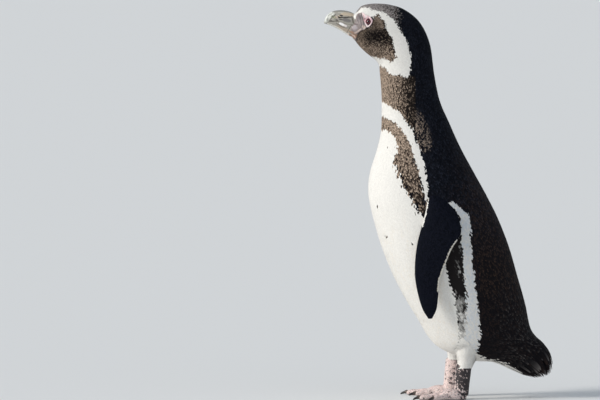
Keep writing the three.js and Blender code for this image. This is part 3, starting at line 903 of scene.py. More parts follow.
def body_skin():
    stations = np.concatenate([
        np.arange(0, 1.1, 0.04), np.arange(1.1, 2.3, 0.016), np.arange(2.3, 6, 0.06),
        np.arange(6, 21.05, 0.16),
    ])
    t, angle = np.meshgrid(stations, body_angles(), indexing="ij")
    outline = body_point(t, angle)
    y, z = side_view(outline)
    bare = inside(BARE_FACE, y, z).astype(float)
    for _ in range(3):
        bare[1:-1] = (bare[:-2] + 2 * bare[1:-1] + bare[2:]) / 4
    height = -spline(COAT_DEPTH, t) * (1 - bare) - 0.2 * bare
    for rise, half, points in FACE_FOLDS:
        height += rise * stroke(y, z, points, half) * bare
    height -= BILL_LIP * (1 - smooth(0, 0.15, t))
    p = with_lids(body_point(t, angle, height * MM + bridged(leg_distance(outline))))
    p[..., 1] -= np.interp(p[..., 2] / MM, *LIP_REACH) * (1 - smooth(0, 0.9, t)) * MM
    vertices, faces = lofted(p)
    root, _ = body_colours(vertices, rng, SKIN_RAGGED)
    share = np.concatenate([bare.ravel(), [1, 0]])
    return vertices, faces, mixed(root, face_colours(vertices), share)


def flipper_skin(side):
    t, angle = grid(np.linspace(0, 9, 90), 64)
    vertices, faces = lofted(flipper_point(side)(t, angle, np.full(t.shape, -FLIPPER_COAT * MM)))
    root, _ = flipper_colours(
        np.concatenate([t.ravel(), [0, 9]]), np.concatenate([angle.ravel(), [1, 1]]), rng,
    )
    return vertices, faces, root


def leg_heights(point, t, angle):
    """How deep a leg's coat is, and how far it swells over the crease with the trunk, in metres."""
    depth = (LEG_COAT[0] + (LEG_COAT[1] - LEG_COAT[0]) * t) * MM
    return depth, bridged(distances(OUTLINE, point(t, angle))) * smooth(*LEG_FILLET_STARTS, t)


def leg_skin(leg):
    t, angle = grid(np.linspace(0, 1, 36), 48)
    point = leg_point(leg)
    depth, swell = leg_heights(point, t, angle)
    taper = LEG_TAPER * MM * smooth(0.88, 1, t) ** 2
    vertices, faces = lofted(point(t, angle, swell - depth - taper))
    bare = smooth(leg["bare"] + 7, leg["bare"] + 2, vertices[:, 2] / MM - leg["ankle"][1])
    return vertices, faces, mixed(0.8 * SOFT_WHITE, FOOT_PINK, bare)


# ---------------------------------------------------------------- feet

FOOT_VOXEL = 0.9
SCALE_SIZE = 2.6  # of the scales on the feet
SCALE_FURROW = 0.35
TARSUS = [[1.0, 11.4], [0.66, 11.0], [0.33, 10.6], [0.0, 10.8]]  # share of its height, and radius
TARSUS_DEPTH = 1.16  # from front to back, as a share of its width
HEEL = [11, 10.5, 8]  # half sizes of the bare knob of the ankle
# Thickness of a toe at some shares of its length, as a share of its radius.
KNUCKLES = (
    [0, 0.2, 0.36, 0.5, 0.63, 0.76, 0.88, 1], [1.4, 1.22, 1.12, 0.95, 1.06, 0.86, 0.92, 0.66],
)


def heading(angle):
    turn = math.radians(angle)
    return np.array([math.sin(turn), -math.cos(turn), 0.0])


def limb(path, radii, across, flat=1.0, sides=20):
    """A closed round tube through path; flat is its depth as a share of its width."""
    path, radii = np.asarray(path, float), np.asarray(radii, float)
    start, end = unit(path[0] - path[1]), unit(path[-1] - path[-2])
    path = np.concatenate([[path[0] + start * radii[0] * 0.7], path, [path[-1] + end * radii[-1] * 0.7]])
    radii = np.concatenate([[radii[0] * 0.4], radii, [radii[-1] * 0.4]])
    tangent = unit(np.gradient(path, axis=0))
    across = unit(across - tangent * (tangent @ across)[:, None])
    depth = np.cross(tangent, across)
    turn = (np.arange(sides) * TAU / sides)[None, :, None]
    r = radii[:, None, None]
    rings = path[:, None] + r * (across[:, None] * np.cos(turn) + flat * depth[:, None] * np.sin(turn))
    return lofted(rings)


def toe_path(toe, side, share):
    """Places along the middle of a toe, from the tarsus to its end."""
    way = heading(side * toe["angle"])
    p = way * (share * (toe["length"] - toe["radius"] / 2))[:, None]
    p[:, 2] = 8.5 - 4.2 * share ** 0.7
    return p


def web(left, right, side):
    """The web between two toes: a thin closed sheet with a hollow front edge."""
    f, r = np.meshgrid(np.linspace(0, 1, 15), np.linspace(0.02, 1, 25), indexing="ij")
    ends = [heading(side * toe["angle"]) * toe["length"] * WEB_REACH for toe in (left, right)]
    middle = 4 * f * (1 - f)
    edge = ends[0] * (1 - f)[..., None] + ends[1] * f[..., None]
    p = edge * (r * (1 - WEB_SCALLOP * middle * r ** 2))[..., None]
    ripple = 0.35 * np.sin(r * 30 + 3 * f) * middle
    top, low = p.copy(), p.copy()
    top[..., 2] = WEB_TOP + 1.6 * (1 - r) + 0.9 * (1 - middle) + ripple
    low[..., 2] = 0.2
    rings = np.concatenate([top, low[:, ::-1]], axis=1)
    return lofted(rings)


def ball(centre, radii):
    polar, turn = grid(np.linspace(0.05, math.pi - 0.05, 16), 24)
    rings = np.stack([np.sin(polar) * np.cos(turn), np.sin(polar) * np.sin(turn), np.cos(polar)], axis=-1)
    return lofted(rings * np.array(radii) + np.array(centre))


def foot_placing(leg):
    """Matrix and shift from a foot's own frame to the bird's, in mm."""
    turn = math.radians(leg["side"] * leg["turn"])
    sine, cosine = math.sin(turn), math.cos(turn)
    spin = np.array([[cosine, -sine, 0], [sine, cosine, 0], [0, 0, 1]])
    return spin, np.array([leg["side"] * leg["x"], leg["foot"], 0])


def foot_skin(leg):
    side = leg["side"]
    spin, shift = foot_placing(leg)
    ankle = np.array([0, leg["ankle"][0] - leg["foot"], leg["ankle"][1] + 4]) @ spin
    root = np.array([0, 0, 9.0])
    shank = [root + (ankle - root) * share for share, _ in TARSUS]
    share = np.linspace(0, 1, 25)
    parts = [
        limb(shank, [r for _, r in TARSUS], np.array([1.0, 0, 0]), TARSUS_DEPTH, 28),
        ball(ankle, HEEL),
        ball([side * INSTEP["outward"], INSTEP["ahead"], INSTEP["above"]],
             [INSTEP["half"], INSTEP["reach"], INSTEP["rise"]]),
    ]
    for toe in TOES:
        across = np.cross(heading(side * toe["angle"]), [0, 0, 1.0])
        radii = toe["radius"] * np.interp(share, *KNUCKLES)
        parts.append(limb(toe_path(toe, side, share), radii, across, 0.86))
    for a, b in ((0, 1), (1, 2)):
        parts.append(web(TOES[a], TOES[b], side))
    back = heading(side * HIND_TOE["angle"])
    ends = np.array([back * HIND_TOE["from"], back * HIND_TOE["to"]]) + [0, 0, HIND_TOE["height"]]
    parts.append(limb(ends, [HIND_TOE["radius"], HIND_TOE["radius"] * 0.8], np.cross(back, [0, 0, 1.0])))

    vertices, faces = merged(parts)
    holder = add_object("foot", mesh_from("foot", vertices * MM, faces))
    voxels = holder.modifiers.new("voxels", "REMESH")
    voxels.mode = "VOXEL"
    voxels.voxel_size = FOOT_VOXEL * MM
    relax = holder.modifiers.new("relax", "SMOOTH")
    relax.iterations = 5
    mesh = evaluated_mesh(holder)
    p, normals = coordinates(mesh), coordinates(mesh, "normal")
    cells = np.array([noise.voronoi(Vector(v / SCALE_SIZE * 1000))[0][:2] for v in p])
    crease = 1 - smooth(0.0, 0.22, cells[:, 1] - cells[:, 0])
    patches = noise_at(p * 260) + 0.8 * noise_at(p * 640)
    above = smooth(1.5, 3, p[:, 2] / MM)
    p = p - normals * (SCALE_FURROW * MM * crease * above)[:, None]
    p[:, 2] = np.maximum(p[:, 2], 0)
    lean = (leg["ankle"][0] - leg["foot"]) * np.clip(p[:, 2] / MM / leg["ankle"][1], 0, 1)
    behind = smooth(-4, 8, p[:, 1] / MM - lean) * smooth(4, 14, p[:, 2] / MM)
    low = np.maximum(smooth(12, 24, p[:, 2] / MM), 0.8 * smooth(-16, -4, p[:, 1] / MM))
    outer = smooth(-5, 5, side * p[:, 0] / MM) * low
    inner = smooth(3, -6, side * p[:, 0] / MM) + smooth(26, 16, p[:, 2] / MM)
    dark = smooth(0.1, 0.3, patches - 0.18 + 0.4 * behind + 0.8 * outer - 0.16 * inner)
    colours = mixed(FOOT_PINK, FOOT_DARK, 0.98 * dark)
    colours = mixed(colours, FOOT_DARK, np.maximum(0.45 * crease, 0.7 * (1 - above)))
    faces = np.empty(4 * len(mesh.polygons), np.int32)
    mesh.polygons.foreach_get("vertices", faces)
    return (p / MM @ spin.T + shift) * MM, [faces.reshape(-1, 4)], colours


def skin():
    parts = [body_skin()]
    parts += [flipper_skin(side) for side in (1, -1)]
    for leg in LEGS.values():
        parts += [leg_skin(leg), foot_skin(leg)]
    holders = [add_object("flesh", mesh_from("flesh", vertices, faces)) for vertices, faces, _ in parts]
    for other in holders[1:]:
        join = holders[0].modifiers.new("join", "BOOLEAN")
        join.operation = "UNION"
        join.solver = "MANIFOLD"
        join.object = other
    mesh = evaluated_mesh(holders[0])
    for other in holders[1:]:
        bpy.data.objects.remove(other)

    known = np.concatenate([vertices for vertices, _, _ in parts])
    colours = np.concatenate([c for _, _, c in parts])
    tree = KDTree(len(known))
    for i, v in enumerate(known):
        tree.insert(v, i)
    tree.balance()
    nearest = [tree.find(v)[1] for v in coordinates(mesh)]
    set_colours(mesh, colours[nearest])
    mesh.polygons.foreach_set("use_smooth", np.ones(len(mesh.polygons), bool))
    nodes = ["head", "neck", "trunk", "tail"]
    nodes += [kind + side for kind in ("flipper_", "leg_", "foot_") for side in LEGS]
    add_piece("skin", mesh, skin_material(), nodes)


# ---------------------------------------------------------------- bill

KERATIN = srgb(160, 155, 145)
# Strokes painted on the horn: colour, half width, strength and line. Two of them are painted highlights.
BILL_STROKES = [
    (srgb(196, 198, 190), 5.0, 0.8, [[-186.4, 622], [-182.3, 631.1], [-174.1, 634.4]]),
    (srgb(204, 186, 162), 3.0, 0.9, [[-160.2, 633.3], [-154.3, 633.8], [-140.2, 632]]),
    (srgb(128, 126, 118), 1.5, 0.9, [[-174.1, 638], [-162.5, 640], [-146, 638.6], [-137.8, 637]]),
    # Painted highlight: a pale line along the ridge.
    (srgb(196, 190, 178), 0.8, 0.8, [[-166, 636.4], [-157, 635.6]]),
    (srgb(140, 140, 104), 2.2, 0.6, [[-176.5, 629.5], [-169.1, 627.8]]),
    (srgb(174, 158, 140), 3.4, 0.9, [[-168, 613], [-162, 610.5], [-154, 607], [-147, 605.5]]),
    (srgb(114, 109, 107), 3.4, 0.9, [[-157.1, 624.4], [-146.8, 622]]),
    (srgb(98, 90, 80), 1.5, 0.8, [[-142.7, 629.6], [-140.2, 618.4]]),
    (srgb(92, 96, 90), 0.6, 0.85, [[-178.9, 635.2], [-183.4, 628.7], [-182.7, 622.3]]),
    (srgb(224, 226, 219), 0.9, 0.9, [[-176, 637], [-181.6, 633.4], [-186, 627.5], [-187.4, 621]]),
    (srgb(222, 222, 212), 0.8, 0.8, [[-173, 634.8], [-178.6, 630.4], [-180.4, 625]]),
    (srgb(74, 74, 64), 0.7, 0.85, [[-169.9, 633.2], [-175.9, 628.7], [-178.9, 624.3]]),
    (srgb(200, 178, 160), 1.3, 0.7, [[-170, 630.6], [-166.4, 626.8]]),
    (srgb(40, 29, 24), 1.3, 0.95, [[-165.6, 628.6], [-161.6, 631.2], [-158.6, 630.8]]),
    (srgb(226, 206, 176), 0.6, 0.8, [[-165.4, 631.4], [-162.2, 629.4]]),
    (srgb(46, 34, 28), 1.0, 0.95, [[-164.5, 627.7], [-158.4, 628.3], [-152.6, 627.7], [-143.5, 629]]),
    (srgb(54, 40, 34), 0.9, 0.85, [[-163.9, 625.4], [-159.2, 624.4]]),
    (srgb(54, 42, 34), 0.9, 0.85, [[-170.1, 624.1], [-166.1, 623.2]]),
    (srgb(56, 48, 42), 0.7, 0.85, [[-180.5, 623.2], [-175.7, 623]]),
    # Painted highlight: the white glint along the top edge of the lower mandible.
    (srgb(240, 230, 228), 1.7, 0.9, [[-163.6, 618.9], [-151.6, 613.4]]),
    (srgb(255, 253, 252), 1.9, 0.95, [[-162.6, 618.4], [-156.6, 615.6]]),
    (srgb(94, 82, 72), 0.7, 0.7, [[-168.5, 618.4], [-160, 613.2], [-152, 609.6]]),
    (srgb(222, 218, 208), 1.2, 0.9, [
        [-184.8, 619], [-175.9, 615.3], [-167, 611.4], [-159, 606.4], [-150.1, 600.6], [-146, 597.3],
    ]),
    (srgb(160, 154, 152), 4.2, 0.95, [[-141, 612.1], [-139.4, 605]]),
    (srgb(150, 112, 82), 1.4, 0.7, [[-147, 605.4], [-141.2, 601.4]]),
    (srgb(228, 202, 186), 1.1, 0.8, [[-149.5, 602.2], [-147.7, 598.1]]),
    (srgb(100, 88, 76), 0.6, 0.85, [[-142.5, 615.6], [-146.8, 610.5], [-151, 603.1]]),
    (srgb(134, 100, 74), 1.8, 0.8, [[-147, 599.4], [-140.5, 596.4]]),
    (srgb(74, 68, 62), 0.5, 0.75, [[-183, 620.8], [-176, 621.6], [-168.5, 622], [-164, 621]]),
    (srgb(246, 240, 230), 1.5, 0.95, [[-137.2, 636.4], [-139.1, 631.4], [-138.5, 627.4]]),
]
# Relief of the bill: height (a groove is below zero), half width and line.
BILL_FOLDS = [
    (-0.8, 0.9, [[-164.5, 627.7], [-158.4, 628.3], [-152.6, 627.7], [-143.5, 629]]),
    (-1.6, 0.55, [[-164.2, 627.8], [-158.8, 628.2]]),
    (0.4, 3.0, [[-155.1, 622.9], [-146.8, 622]]),
    (-0.4, 0.9, [[-142.7, 628.6], [-140.2, 620.4]]),
    (0.7, 2.0, [[-165.2, 619.6], [-158.4, 616.4], [-151.2, 613]]),
    (-0.45, 0.5, [[-142.5, 615.6], [-146.8, 610.5], [-151, 603.1]]),
    (0.3, 1.6, [[-177.4, 616.5], [-165.8, 611], [-155.9, 604.4], [-151, 601.4], [-146, 597.3]]),
    (-0.35, 0.5, [[-184, 624.5], [-176, 625.5], [-170, 630], [-166, 636]]),
    (-0.25, 0.5, [[-178, 636], [-172, 629], [-170, 623]]),
    (-0.3, 0.6, [[-168.5, 619.5], [-165, 612]]),
]
BILL_EDGE = 0.7  # how far the mandibles' edges are rounded off


def gape_angle(s):
    """Angle on the bill's outline at which the mandibles meet, at stations s."""
    top_y, top_z, low_y, low_z = (spline(BILL[:, k], s) for k in range(4))
    q = np.full(np.shape(s), 0.5)
    for _ in range(12):
        z = np.interp(low_y + (top_y - low_y) * q, GAPE[:, 0], GAPE[:, 1])
        q = np.clip((z - low_z) / (top_z - low_z), 0.03, 0.97)
    return np.arccos(2 * q - 1)


def mandible(name, upper):
    last = len(BILL) - 1 if upper else LOWER_TIP
    stations = BILL_ROOT + (last - BILL_ROOT) * np.linspace(0, 1, 150) ** 0.9
    wall = gape_angle(stations)[:, None]
    across = np.linspace(-1, 1, 141)[None, :]
    angle = wall * across if upper else math.pi + (math.pi - wall) * across
    s = np.broadcast_to(stations[:, None], angle.shape)
    y, z = side_view(bill_point(s, angle))
    from_edge = (1 - np.abs(across)) * (wall if upper else math.pi - wall) * spline(BILL[:, 4], s) * 1.3
    height = -BILL_EDGE * (1 - smooth(0, 1.0, from_edge))
    height += (0.25 if upper else -0.25) * (1 - smooth(0.8, 2.4, from_edge))
    for rise, half, points in BILL_FOLDS:
        height += rise * stroke(y, z, points, half) * smooth(0, 0.8, from_edge)
    height *= smooth(len(BILL) - 1.2, len(BILL) - 2.2, s)
    shell = bill_point(s, angle, height * MM)
    f = np.linspace(0, 1, 10)[1:-1, None]
    floor = shell[:, -1, None] * (1 - f) + shell[:, :1] * f
    vertices, faces = lofted(np.concatenate([shell, floor], axis=1))
    y, z = side_view(vertices)
    colours = brushed(KERATIN, y, z, BILL_STROKES)
    add_piece(name, mesh_from(name, vertices, faces, colours), BILL_HORN, [name])


# ---------------------------------------------------------------- eyes and claws

PUPIL, IRIS = 0.24, 0.7  # polar angles of their rims
CORNEA = 0.05  # how far the cornea bulges, as a share of the radius
EYE_BLACK = srgb(8, 6, 7)
EYE_MAROON = srgb(96, 26, 38)


def eye(name, side):
    polar = np.concatenate([np.linspace(0.02, 1.1, 60), np.linspace(1.2, math.pi - 0.05, 20)])
    polar, turn = grid(polar, 72)
    radius = EYE_RADIUS * (1 + CORNEA * (1 - smooth(0.1, 0.8, polar)))
    axis = EYE_AXIS * [side, 1, 1]
    up = unit(np.array([0, 0, 1]) - EYE_AXIS[2] * axis)
    ahead = np.cross(axis, up)
    spread = ahead * np.cos(turn)[..., None] + up * np.sin(turn)[..., None]
    rings = radius[..., None] * (spread * np.sin(polar)[..., None] + axis * np.cos(polar)[..., None])
    vertices, faces = lofted((rings + EYE_CENTRE * [side, 1, 1]) * MM)
    polar, turn = np.append(polar, [0, math.pi]), np.append(turn, [0, 0])
    rays = 0.75 + 0.25 * np.sin(turn * 36) * np.sin(turn * 23 + 1)
    iris = EYE_MAROON * (rays * (0.5 + 0.6 * smooth(IRIS, PUPIL, polar)))[:, None]
    colours = mixed(iris, EYE_BLACK, 1 - smooth(PUPIL - 0.02, PUPIL + 0.03, polar))
    colours = mixed(colours, EYE_BLACK, smooth(IRIS - 0.04, IRIS + 0.04, polar))
    add_piece(name, mesh_from(name, vertices, faces, colours), WET_EYE, [name])


CLAW_DARK = srgb(34, 29, 28)
CLAW_PALE = srgb(104, 90, 80)


def claw(name, leg, root, way, size):
    """A curved horn, with its ridge on top, from inside the toe's end to its point."""
    s, turn = grid(np.linspace(0, 1, 24), 20)
    across = np.array([-way[1], way[0], 0])
    r = size["radius"] * np.sqrt(1 - s ** 1.7) * (1 + 0.12 * np.sin(s * 9)) + 0.12
    drop = CLAW_DROP * size["length"] * s ** 2
    ridge = 1 + 0.22 * np.maximum(np.cos(turn), 0) ** 3
    rings = root + way * (s * size["length"])[..., None] + across * (np.sin(turn) * r * 0.8)[..., None]
    rings[..., 2] += np.cos(turn) * r * ridge - drop
    rings[..., 2] = np.maximum(rings[..., 2], 0)
    spin, shift = foot_placing(leg)
    vertices, faces = lofted((rings @ spin.T + shift) * MM)
    share = np.append(s, [0, 1])
    colours = mixed(CLAW_PALE, CLAW_DARK, smooth(0.05, 0.55, share))
    add_piece(name, mesh_from(name, vertices, faces, colours), CLAW_HORN, [name])


def claws():
    for name, leg in LEGS.items():
        for toe in TOES:
            way = heading(leg["side"] * toe["angle"])
            root = way * (toe["length"] - CLAW["set"]) + [0, 0, CLAW["height"]]
            claw(f"claw_{name}_{toe['title']}", leg, root, way, CLAW)
        back = heading(leg["side"] * HIND_TOE["angle"])
        root = back * HIND_TOE["to"] + [0, 0, HIND_TOE["height"]]
        claw(f"claw_{name}_hind", leg, root, back, HIND_CLAW)


# ---------------------------------------------------------------- feathers

# A vane is a closed wedge with a raised shaft: how far along each of its rows lies, and how wide the
# row is. It ends in a point.
SHORT_VANE = [[0.0, 0.45], [0.45, 1], [0.8, 0.66]]
LONG_VANE = [
    [0, 0.4], [0.12, 0.7], [0.28, 0.9], [0.45, 1], [0.62, 1], [0.78, 0.95], [0.9, 0.75], [0.97, 0.4],
]


def vane_of(rows):
    """Along, across and ridge of each vertex of a vane, with its quads and triangles."""
    along, across, ridge = [], [], []
    for s, w in rows:
        along += [s, s + 0.03, s]
        across += [-w, 0, w]
        ridge += [0, 1, 0]
    along[-2] = rows[-1][0]
    along.append(1.0)
    across.append(0.0)
    ridge.append(0.35)
    quads = []
    for r in range(len(rows) - 1):
        a, b = 3 * r, 3 * r + 3
        quads += [[a, a + 1, b + 1, b], [a + 1, a + 2, b + 2, b + 1], [a + 2, a, b, b + 2]]
    last, tip = 3 * len(rows) - 3, 3 * len(rows)
    triangles = [[last, last + 1, tip], [last + 1, last + 2, tip], [last + 2, last, tip], [2, 1, 0]]
    return [np.array(v) for v in (along, across, ridge, quads, triangles)]


ROOT_JITTER = 0.15  # of the distance between roots


def lay_roots(point, t_from, t_to, pitch_along, pitch_across):
    """Feather roots in staggered rows, evenly spread over the surface. Returns t and angle."""
    t = np.linspace(t_from, t_to, 700)
    a = np.linspace(0, TAU, 181)
    grid = point(*np.meshgrid(t, a, indexing="ij"))
    step = np.linalg.norm(np.diff(grid, axis=0), axis=2)
    rows = np.vstack([np.zeros(len(a)), np.cumsum(step / pitch_along(t[1:])[:, None], axis=0)])
    found_t, found_a = [], []
    for k in range(int(rows.max())):
        at = np.array([np.interp(k + 0.5, rows[:, j], t, right=np.nan) for j in range(len(a))])
        here = np.isfinite(at)
        filled = np.where(here, at, t_to)
        loop = point(filled, a)
        width = np.linalg.norm(np.diff(loop, axis=0), axis=1) / pitch_across(filled[1:])
        width *= here[1:] & here[:-1]
        total = np.concatenate([[0], np.cumsum(width)])
        count = int(round(total[-1]))
        if count == 0:
            continue
        place = (np.arange(count) + 0.5 * (k % 2) + rng.normal(0, ROOT_JITTER, count)) % count
        angle = np.interp(place * total[-1] / count, total, a)
        found_a.append(angle)
        shift = rng.normal(0, ROOT_JITTER, count) * (t_to - t_from) / rows.max()
        found_t.append(np.interp(angle, a, filled) + shift)
    return np.concatenate(found_t), np.concatenate(found_a)


def feather_mesh(name, point, roots, size, heights, colours, uv, vane=SHORT_VANE, crown=0.07, swing=0.1):
    """One vane at each root (t, angle), of that length and width, closed and lying along the surface.
    It rises from the first to the second of heights and its colour runs from the first to the second."""
    t, angle = roots
    length, width = size
    low, high = heights
    run, aside, ridge, quads, triangles = vane_of(vane)
    along, across, outward = surface_frame(point, t, angle)
    turn = rng.normal(0, swing, len(t))
    s, w = run[None, :], aside[None, :]
    forward = s * length[:, None]
    sideways = w * width[:, None] / 2 + forward * turn[:, None]
    rise = (1 - LIFT) * (1 - (1 - s) ** RISE) + LIFT * s * (1 + rng.normal(0, 0.3, len(t))[:, None])
    height = low[:, None] + (high - low)[:, None] * rise - crown * width[:, None] * (1 - ridge) * 0.5
    vt = t[:, None] + forward / np.linalg.norm(along, axis=1)[:, None]
    va = angle[:, None] + sideways / np.linalg.norm(across, axis=1)[:, None]
    vertices = point(vt, va, height).reshape(-1, 3)
    root, tip = (np.repeat(c, len(run), axis=0) for c in colours)
    shades = mixed(root, tip, np.tile(run ** TIP_ONSET, len(t)))
    tilt = unit(across)[:, None] * (w * 0.15)[..., None] + unit(along)[:, None] * (s * 0.06)[..., None]
    normals = unit(outward[:, None, :] + tilt).reshape(-1, 3)
    base = (np.arange(len(t)) * len(run))[:, None, None]
    faces = [(base + quads).reshape(-1, 4), (base + triangles).reshape(-1, 3)]
    if np.sum(np.cross(along, across) * outward) > 0:
        faces = [f[:, ::-1] for f in faces]
    patch = UV_PATCH * np.stack([w / 2, s], axis=-1)
    uvs = (uv[:, None, :] + patch).reshape(-1, 2)
    return mesh_from(name, vertices, faces, shades, uvs, normals)


RISE = 5  # how soon a feather comes up from the skin and lies flat
LIFT = 0.16  # share of its rise that goes on to its tip, so that each row lies over the next
TIP_ONSET = 4.5  # how late along a feather its tip's colour comes in
UV_PATCH = 0.003  # size of each feather's patch on the map
UV_MARGIN = 0.01


def unwrapped(t, angle):
    """Places on the map: the surface's own angle across and station along, spread over the square."""
    uv = []
    for v in (angle, t):
        uv.append(UV_MARGIN + (1 - 2 * UV_MARGIN) * (v - v.min()) / (np.ptp(v) + 1e-9))
    return np.stack(uv, axis=-1)


# Distances between feathers: at some stations, those along the part and those across it.
BODY_PITCH = [
    [0, 2, 4, 6, 10, 18, 20], [1.0, 1.15, 1.4, 1.9, 2.5, 2.8, 3.6], [1.05, 1.25, 1.5, 1.95, 2.7, 3.0, 3.6],
]
FLIPPER_PITCH = [[0, 2, 4, 9], [2.2, 1.8, 1.5, 1.2], [2.4, 2.1, 1.7, 1.4]]
LEG_PITCH = [[0, 0.6, 1], [2.5, 1.9, 1.3], [2.6, 2.0, 1.4]]
FEATHER_LENGTH, FEATHER_WIDTH = 4.0, 1.7  # of those distances
OVERLAP = 5.5  # how deep inside a leg's outline the trunk's feathers still come out over it
OVERLAP_GAIN = 1.06
FACE_MARGIN = 1.3  # how far inside the bare face the feathers beside it are rooted
FLIPPER_COAT = 0.7
LEG_TAPER = 2.5  # how far a leg's skin draws in at the ankle
LEG_COAT = (2.4, 1.2)


def pitches(stations, *rows):
    """Functions that give the distances between feathers, along and across, in metres."""
    return [lambda t, row=row: np.interp(t, stations, row) * MM for row in rows]


def body_coat():
    along, across = pitches(*BODY_PITCH)
    t, angle = lay_roots(body_point, 0.05, 19.8, along, across)
    length = FEATHER_LENGTH * along(t) * (1 + rng.normal(0, 0.08, len(t)))
    per_t = np.linalg.norm(surface_frame(body_point, t, angle)[0], axis=1)
    root, tip = body_colours(body_point(t + 0.75 * length / per_t, angle), rng)
    y, z = side_view(body_point(t + FACE_MARGIN * MM / per_t, angle))
    kept = ~inside(BARE_FACE, y, z)
    t, angle, length, root, tip = t[kept], angle[kept], length[kept], root[kept], tip[kept]
    depth = spline(COAT_DEPTH, t) * MM
    swell = []
    for s in (0, 1):
        p = body_point(t + s * length / per_t[kept], angle)
        # Beside a leg the trunk's feathers run on over the leg's own.
        over = np.clip(-leg_distance(p, signed=True) * OVERLAP_GAIN, 0, OVERLAP) * MM
        swell.append(np.maximum(bridged(leg_distance(p)), over))
    around = np.where(angle > math.pi, angle - TAU, angle)
    trunk = t >= TRUNK_STARTS
    head = t < NECK_STARTS
    regions = {
        "coat_head_left": head & (around >= 0),
        "coat_head_right": head & (around < 0),
        "coat_neck_left": ~head & ~trunk & (around >= 0),
        "coat_neck_right": ~head & ~trunk & (around < 0),
        "coat_front": trunk & (np.abs(around) < 1.0),
        "coat_flank_left": trunk & (around >= 1.0) & (around < 2.1),
        "coat_flank_right": trunk & (around <= -1.0) & (around > -2.1),
        "coat_back": trunk & (np.abs(around) >= 2.1),
    }
    for name, mask in regions.items():
        tm, am, dm = t[mask], angle[mask], depth[mask]
        spread = am if name == "coat_back" else around[mask]
        mesh = feather_mesh(
            name, body_point, (tm, am), (length[mask], FEATHER_WIDTH * across(tm)),
            (swell[0][mask] - 0.85 * dm, swell[1][mask]), (root[mask], tip[mask]), unwrapped(tm, spread),
        )
        add_piece(name, mesh, PLUMAGE)


def flipper_colours(t, angle, rng):
    """Root and tip colour of a flipper's feathers."""
    n = len(t)
    luck = rng.random(n)
    chord = np.hypot(*(spline(FLIPPER[:, k] - FLIPPER[:, k + 3], t) / 2 for k in (1, 2)))
    from_lead, from_trail = (1 - np.cos(angle)) * chord, (1 + np.cos(angle)) * chord
    root = mixed(BLACK, NAVY, luck)
    tip = mixed(root, BLACK_BROWN, luck ** 2)

    def paint(mask, low, high):
        root[mask] = 0.9 * mixed(low, high, luck)[mask]
        tip[mask] = mixed(low, high, luck)[mask]

    inner = np.sin(angle) < -0.05
    grain = noise_at(np.stack([from_lead / 5, 1.3 * t, 0 * t], axis=-1))
    rim = np.maximum(smooth(9, 3, from_lead), smooth(7.2, 8.6, t))
    mottled = 0.5 + grain + 0.4 * (luck - 0.5) < rim
    paint(inner & ~mottled, SOFT_WHITE, WHITE)
    paint((from_trail < 2.2) & (t > 3.3) & (t < 6.6), SOFT_WHITE, CREAM)
    paint((from_lead < 1.9) & (t < 3), SOFT_WHITE, WHITE)
    return root, tip


def flipper_coat(name, side, body):
    along, across = pitches(*FLIPPER_PITCH)
    point = flipper_point(side)
    t, angle = lay_roots(point, 0.4, 8.9, along, across)
    kept = ~within(body, point(t, angle, np.zeros(len(t))))
    t, angle = t[kept], angle[kept]
    deep = np.full(len(t), FLIPPER_COAT * MM)
    mesh = feather_mesh(
        name, point, (t, angle), (3 * along(t), 1.6 * across(t)), (-0.9 * deep, 0 * deep),
        flipper_colours(t, angle, rng), unwrapped(t, angle), swing=0.06,
    )
    add_piece(name, mesh, PLUMAGE)


def leg_coat(name, leg, body):
    along, across = pitches(*LEG_PITCH)
    point = leg_point(leg)
    t, angle = lay_roots(point, 0.25, 0.97, along, across)
    p = point(t, angle)
    kept = ~within(body, p)
    # The bare ankle shows in front and inside, below the feathers.
    front, inner_side = np.cos(angle) > 0.2, np.sin(angle) * leg["side"] < -0.3
    hidden = front | inner_side
    kept &= ~hidden | (p[:, 2] / MM > leg["ankle"][1] + leg["bare"])
    t, angle = t[kept], angle[kept]
    root, tip = body_colours(point(np.minimum(t + 0.08, 1), angle), rng)
    depth, swell = leg_heights(point, t, angle)
    mesh = feather_mesh(
        name, point, (t, angle), (3.6 * along(t), 1.6 * across(t)), (swell - 0.85 * depth, swell),
        (root, tip), unwrapped(t, angle), swing=0.14,
    )
    add_piece(name, mesh, PLUMAGE)


# Layers of the tail's stiff vanes: depth, how many, width, and the stations of roots and tips.
TAIL_LAYERS = [
    [0, 44, 8, 18.6, 21.3], [1.5, 44, 7.5, 19.1, 21.8], [4, 40, 7, 19.4, 22.0], [7, 34, 7, 19.7, 22.05],
    [10.5, 26, 6.5, 20.0, 22.1], [14, 14, 6, 20.3, 22.0],
]


def tail_coat():
    made = []
    for layer, (deep, count, width, root, tip) in enumerate(TAIL_LAYERS):
        angle = (np.arange(count) + 0.5 * (layer % 2)) * TAU / count + rng.normal(0, 0.05, count)
        t = root + rng.normal(0, 0.12, count)
        end = tip - 0.7 * rng.random(count) ** 1.5
        made.append(np.stack([t, angle, end, np.full(count, width), np.full(count, deep)]))
    t, angle, end, width, deep = np.concatenate(made, axis=1)
    per_t = np.linalg.norm(surface_frame(body_point, t, angle)[0], axis=1)
    root, tip = body_colours(body_point(end, angle), rng, 0.5)
    worn = rng.random(len(t))
    tip = mixed(tip, BROWN_TIP, 0.4 * worn ** 2)
    # A few grey tips on the tail: partly pale edges, partly painted sheen.
    tip = mixed(tip, TAIL_GREY_AND_SHEEN, 0.7 * (worn > 0.84))
    mesh = feather_mesh(
        "coat_tail", body_point, (t, angle), ((end - t) * per_t, width * MM),
        (-(deep + 3) * MM, -(deep - 0.6) * MM), (root, tip), unwrapped(t, angle), LONG_VANE, 0.16, 0.05,
    )
    add_piece("coat_tail", mesh, PLUMAGE)


def within(tree, points):
    """Which points lie inside the closed surface that tree holds."""
    result = []
    for p in points:
        near, normal, _, _ = tree.find_nearest(Vector(p))
        result.append((Vector(p) - near).dot(normal) < 0)
    return np.array(result, bool)


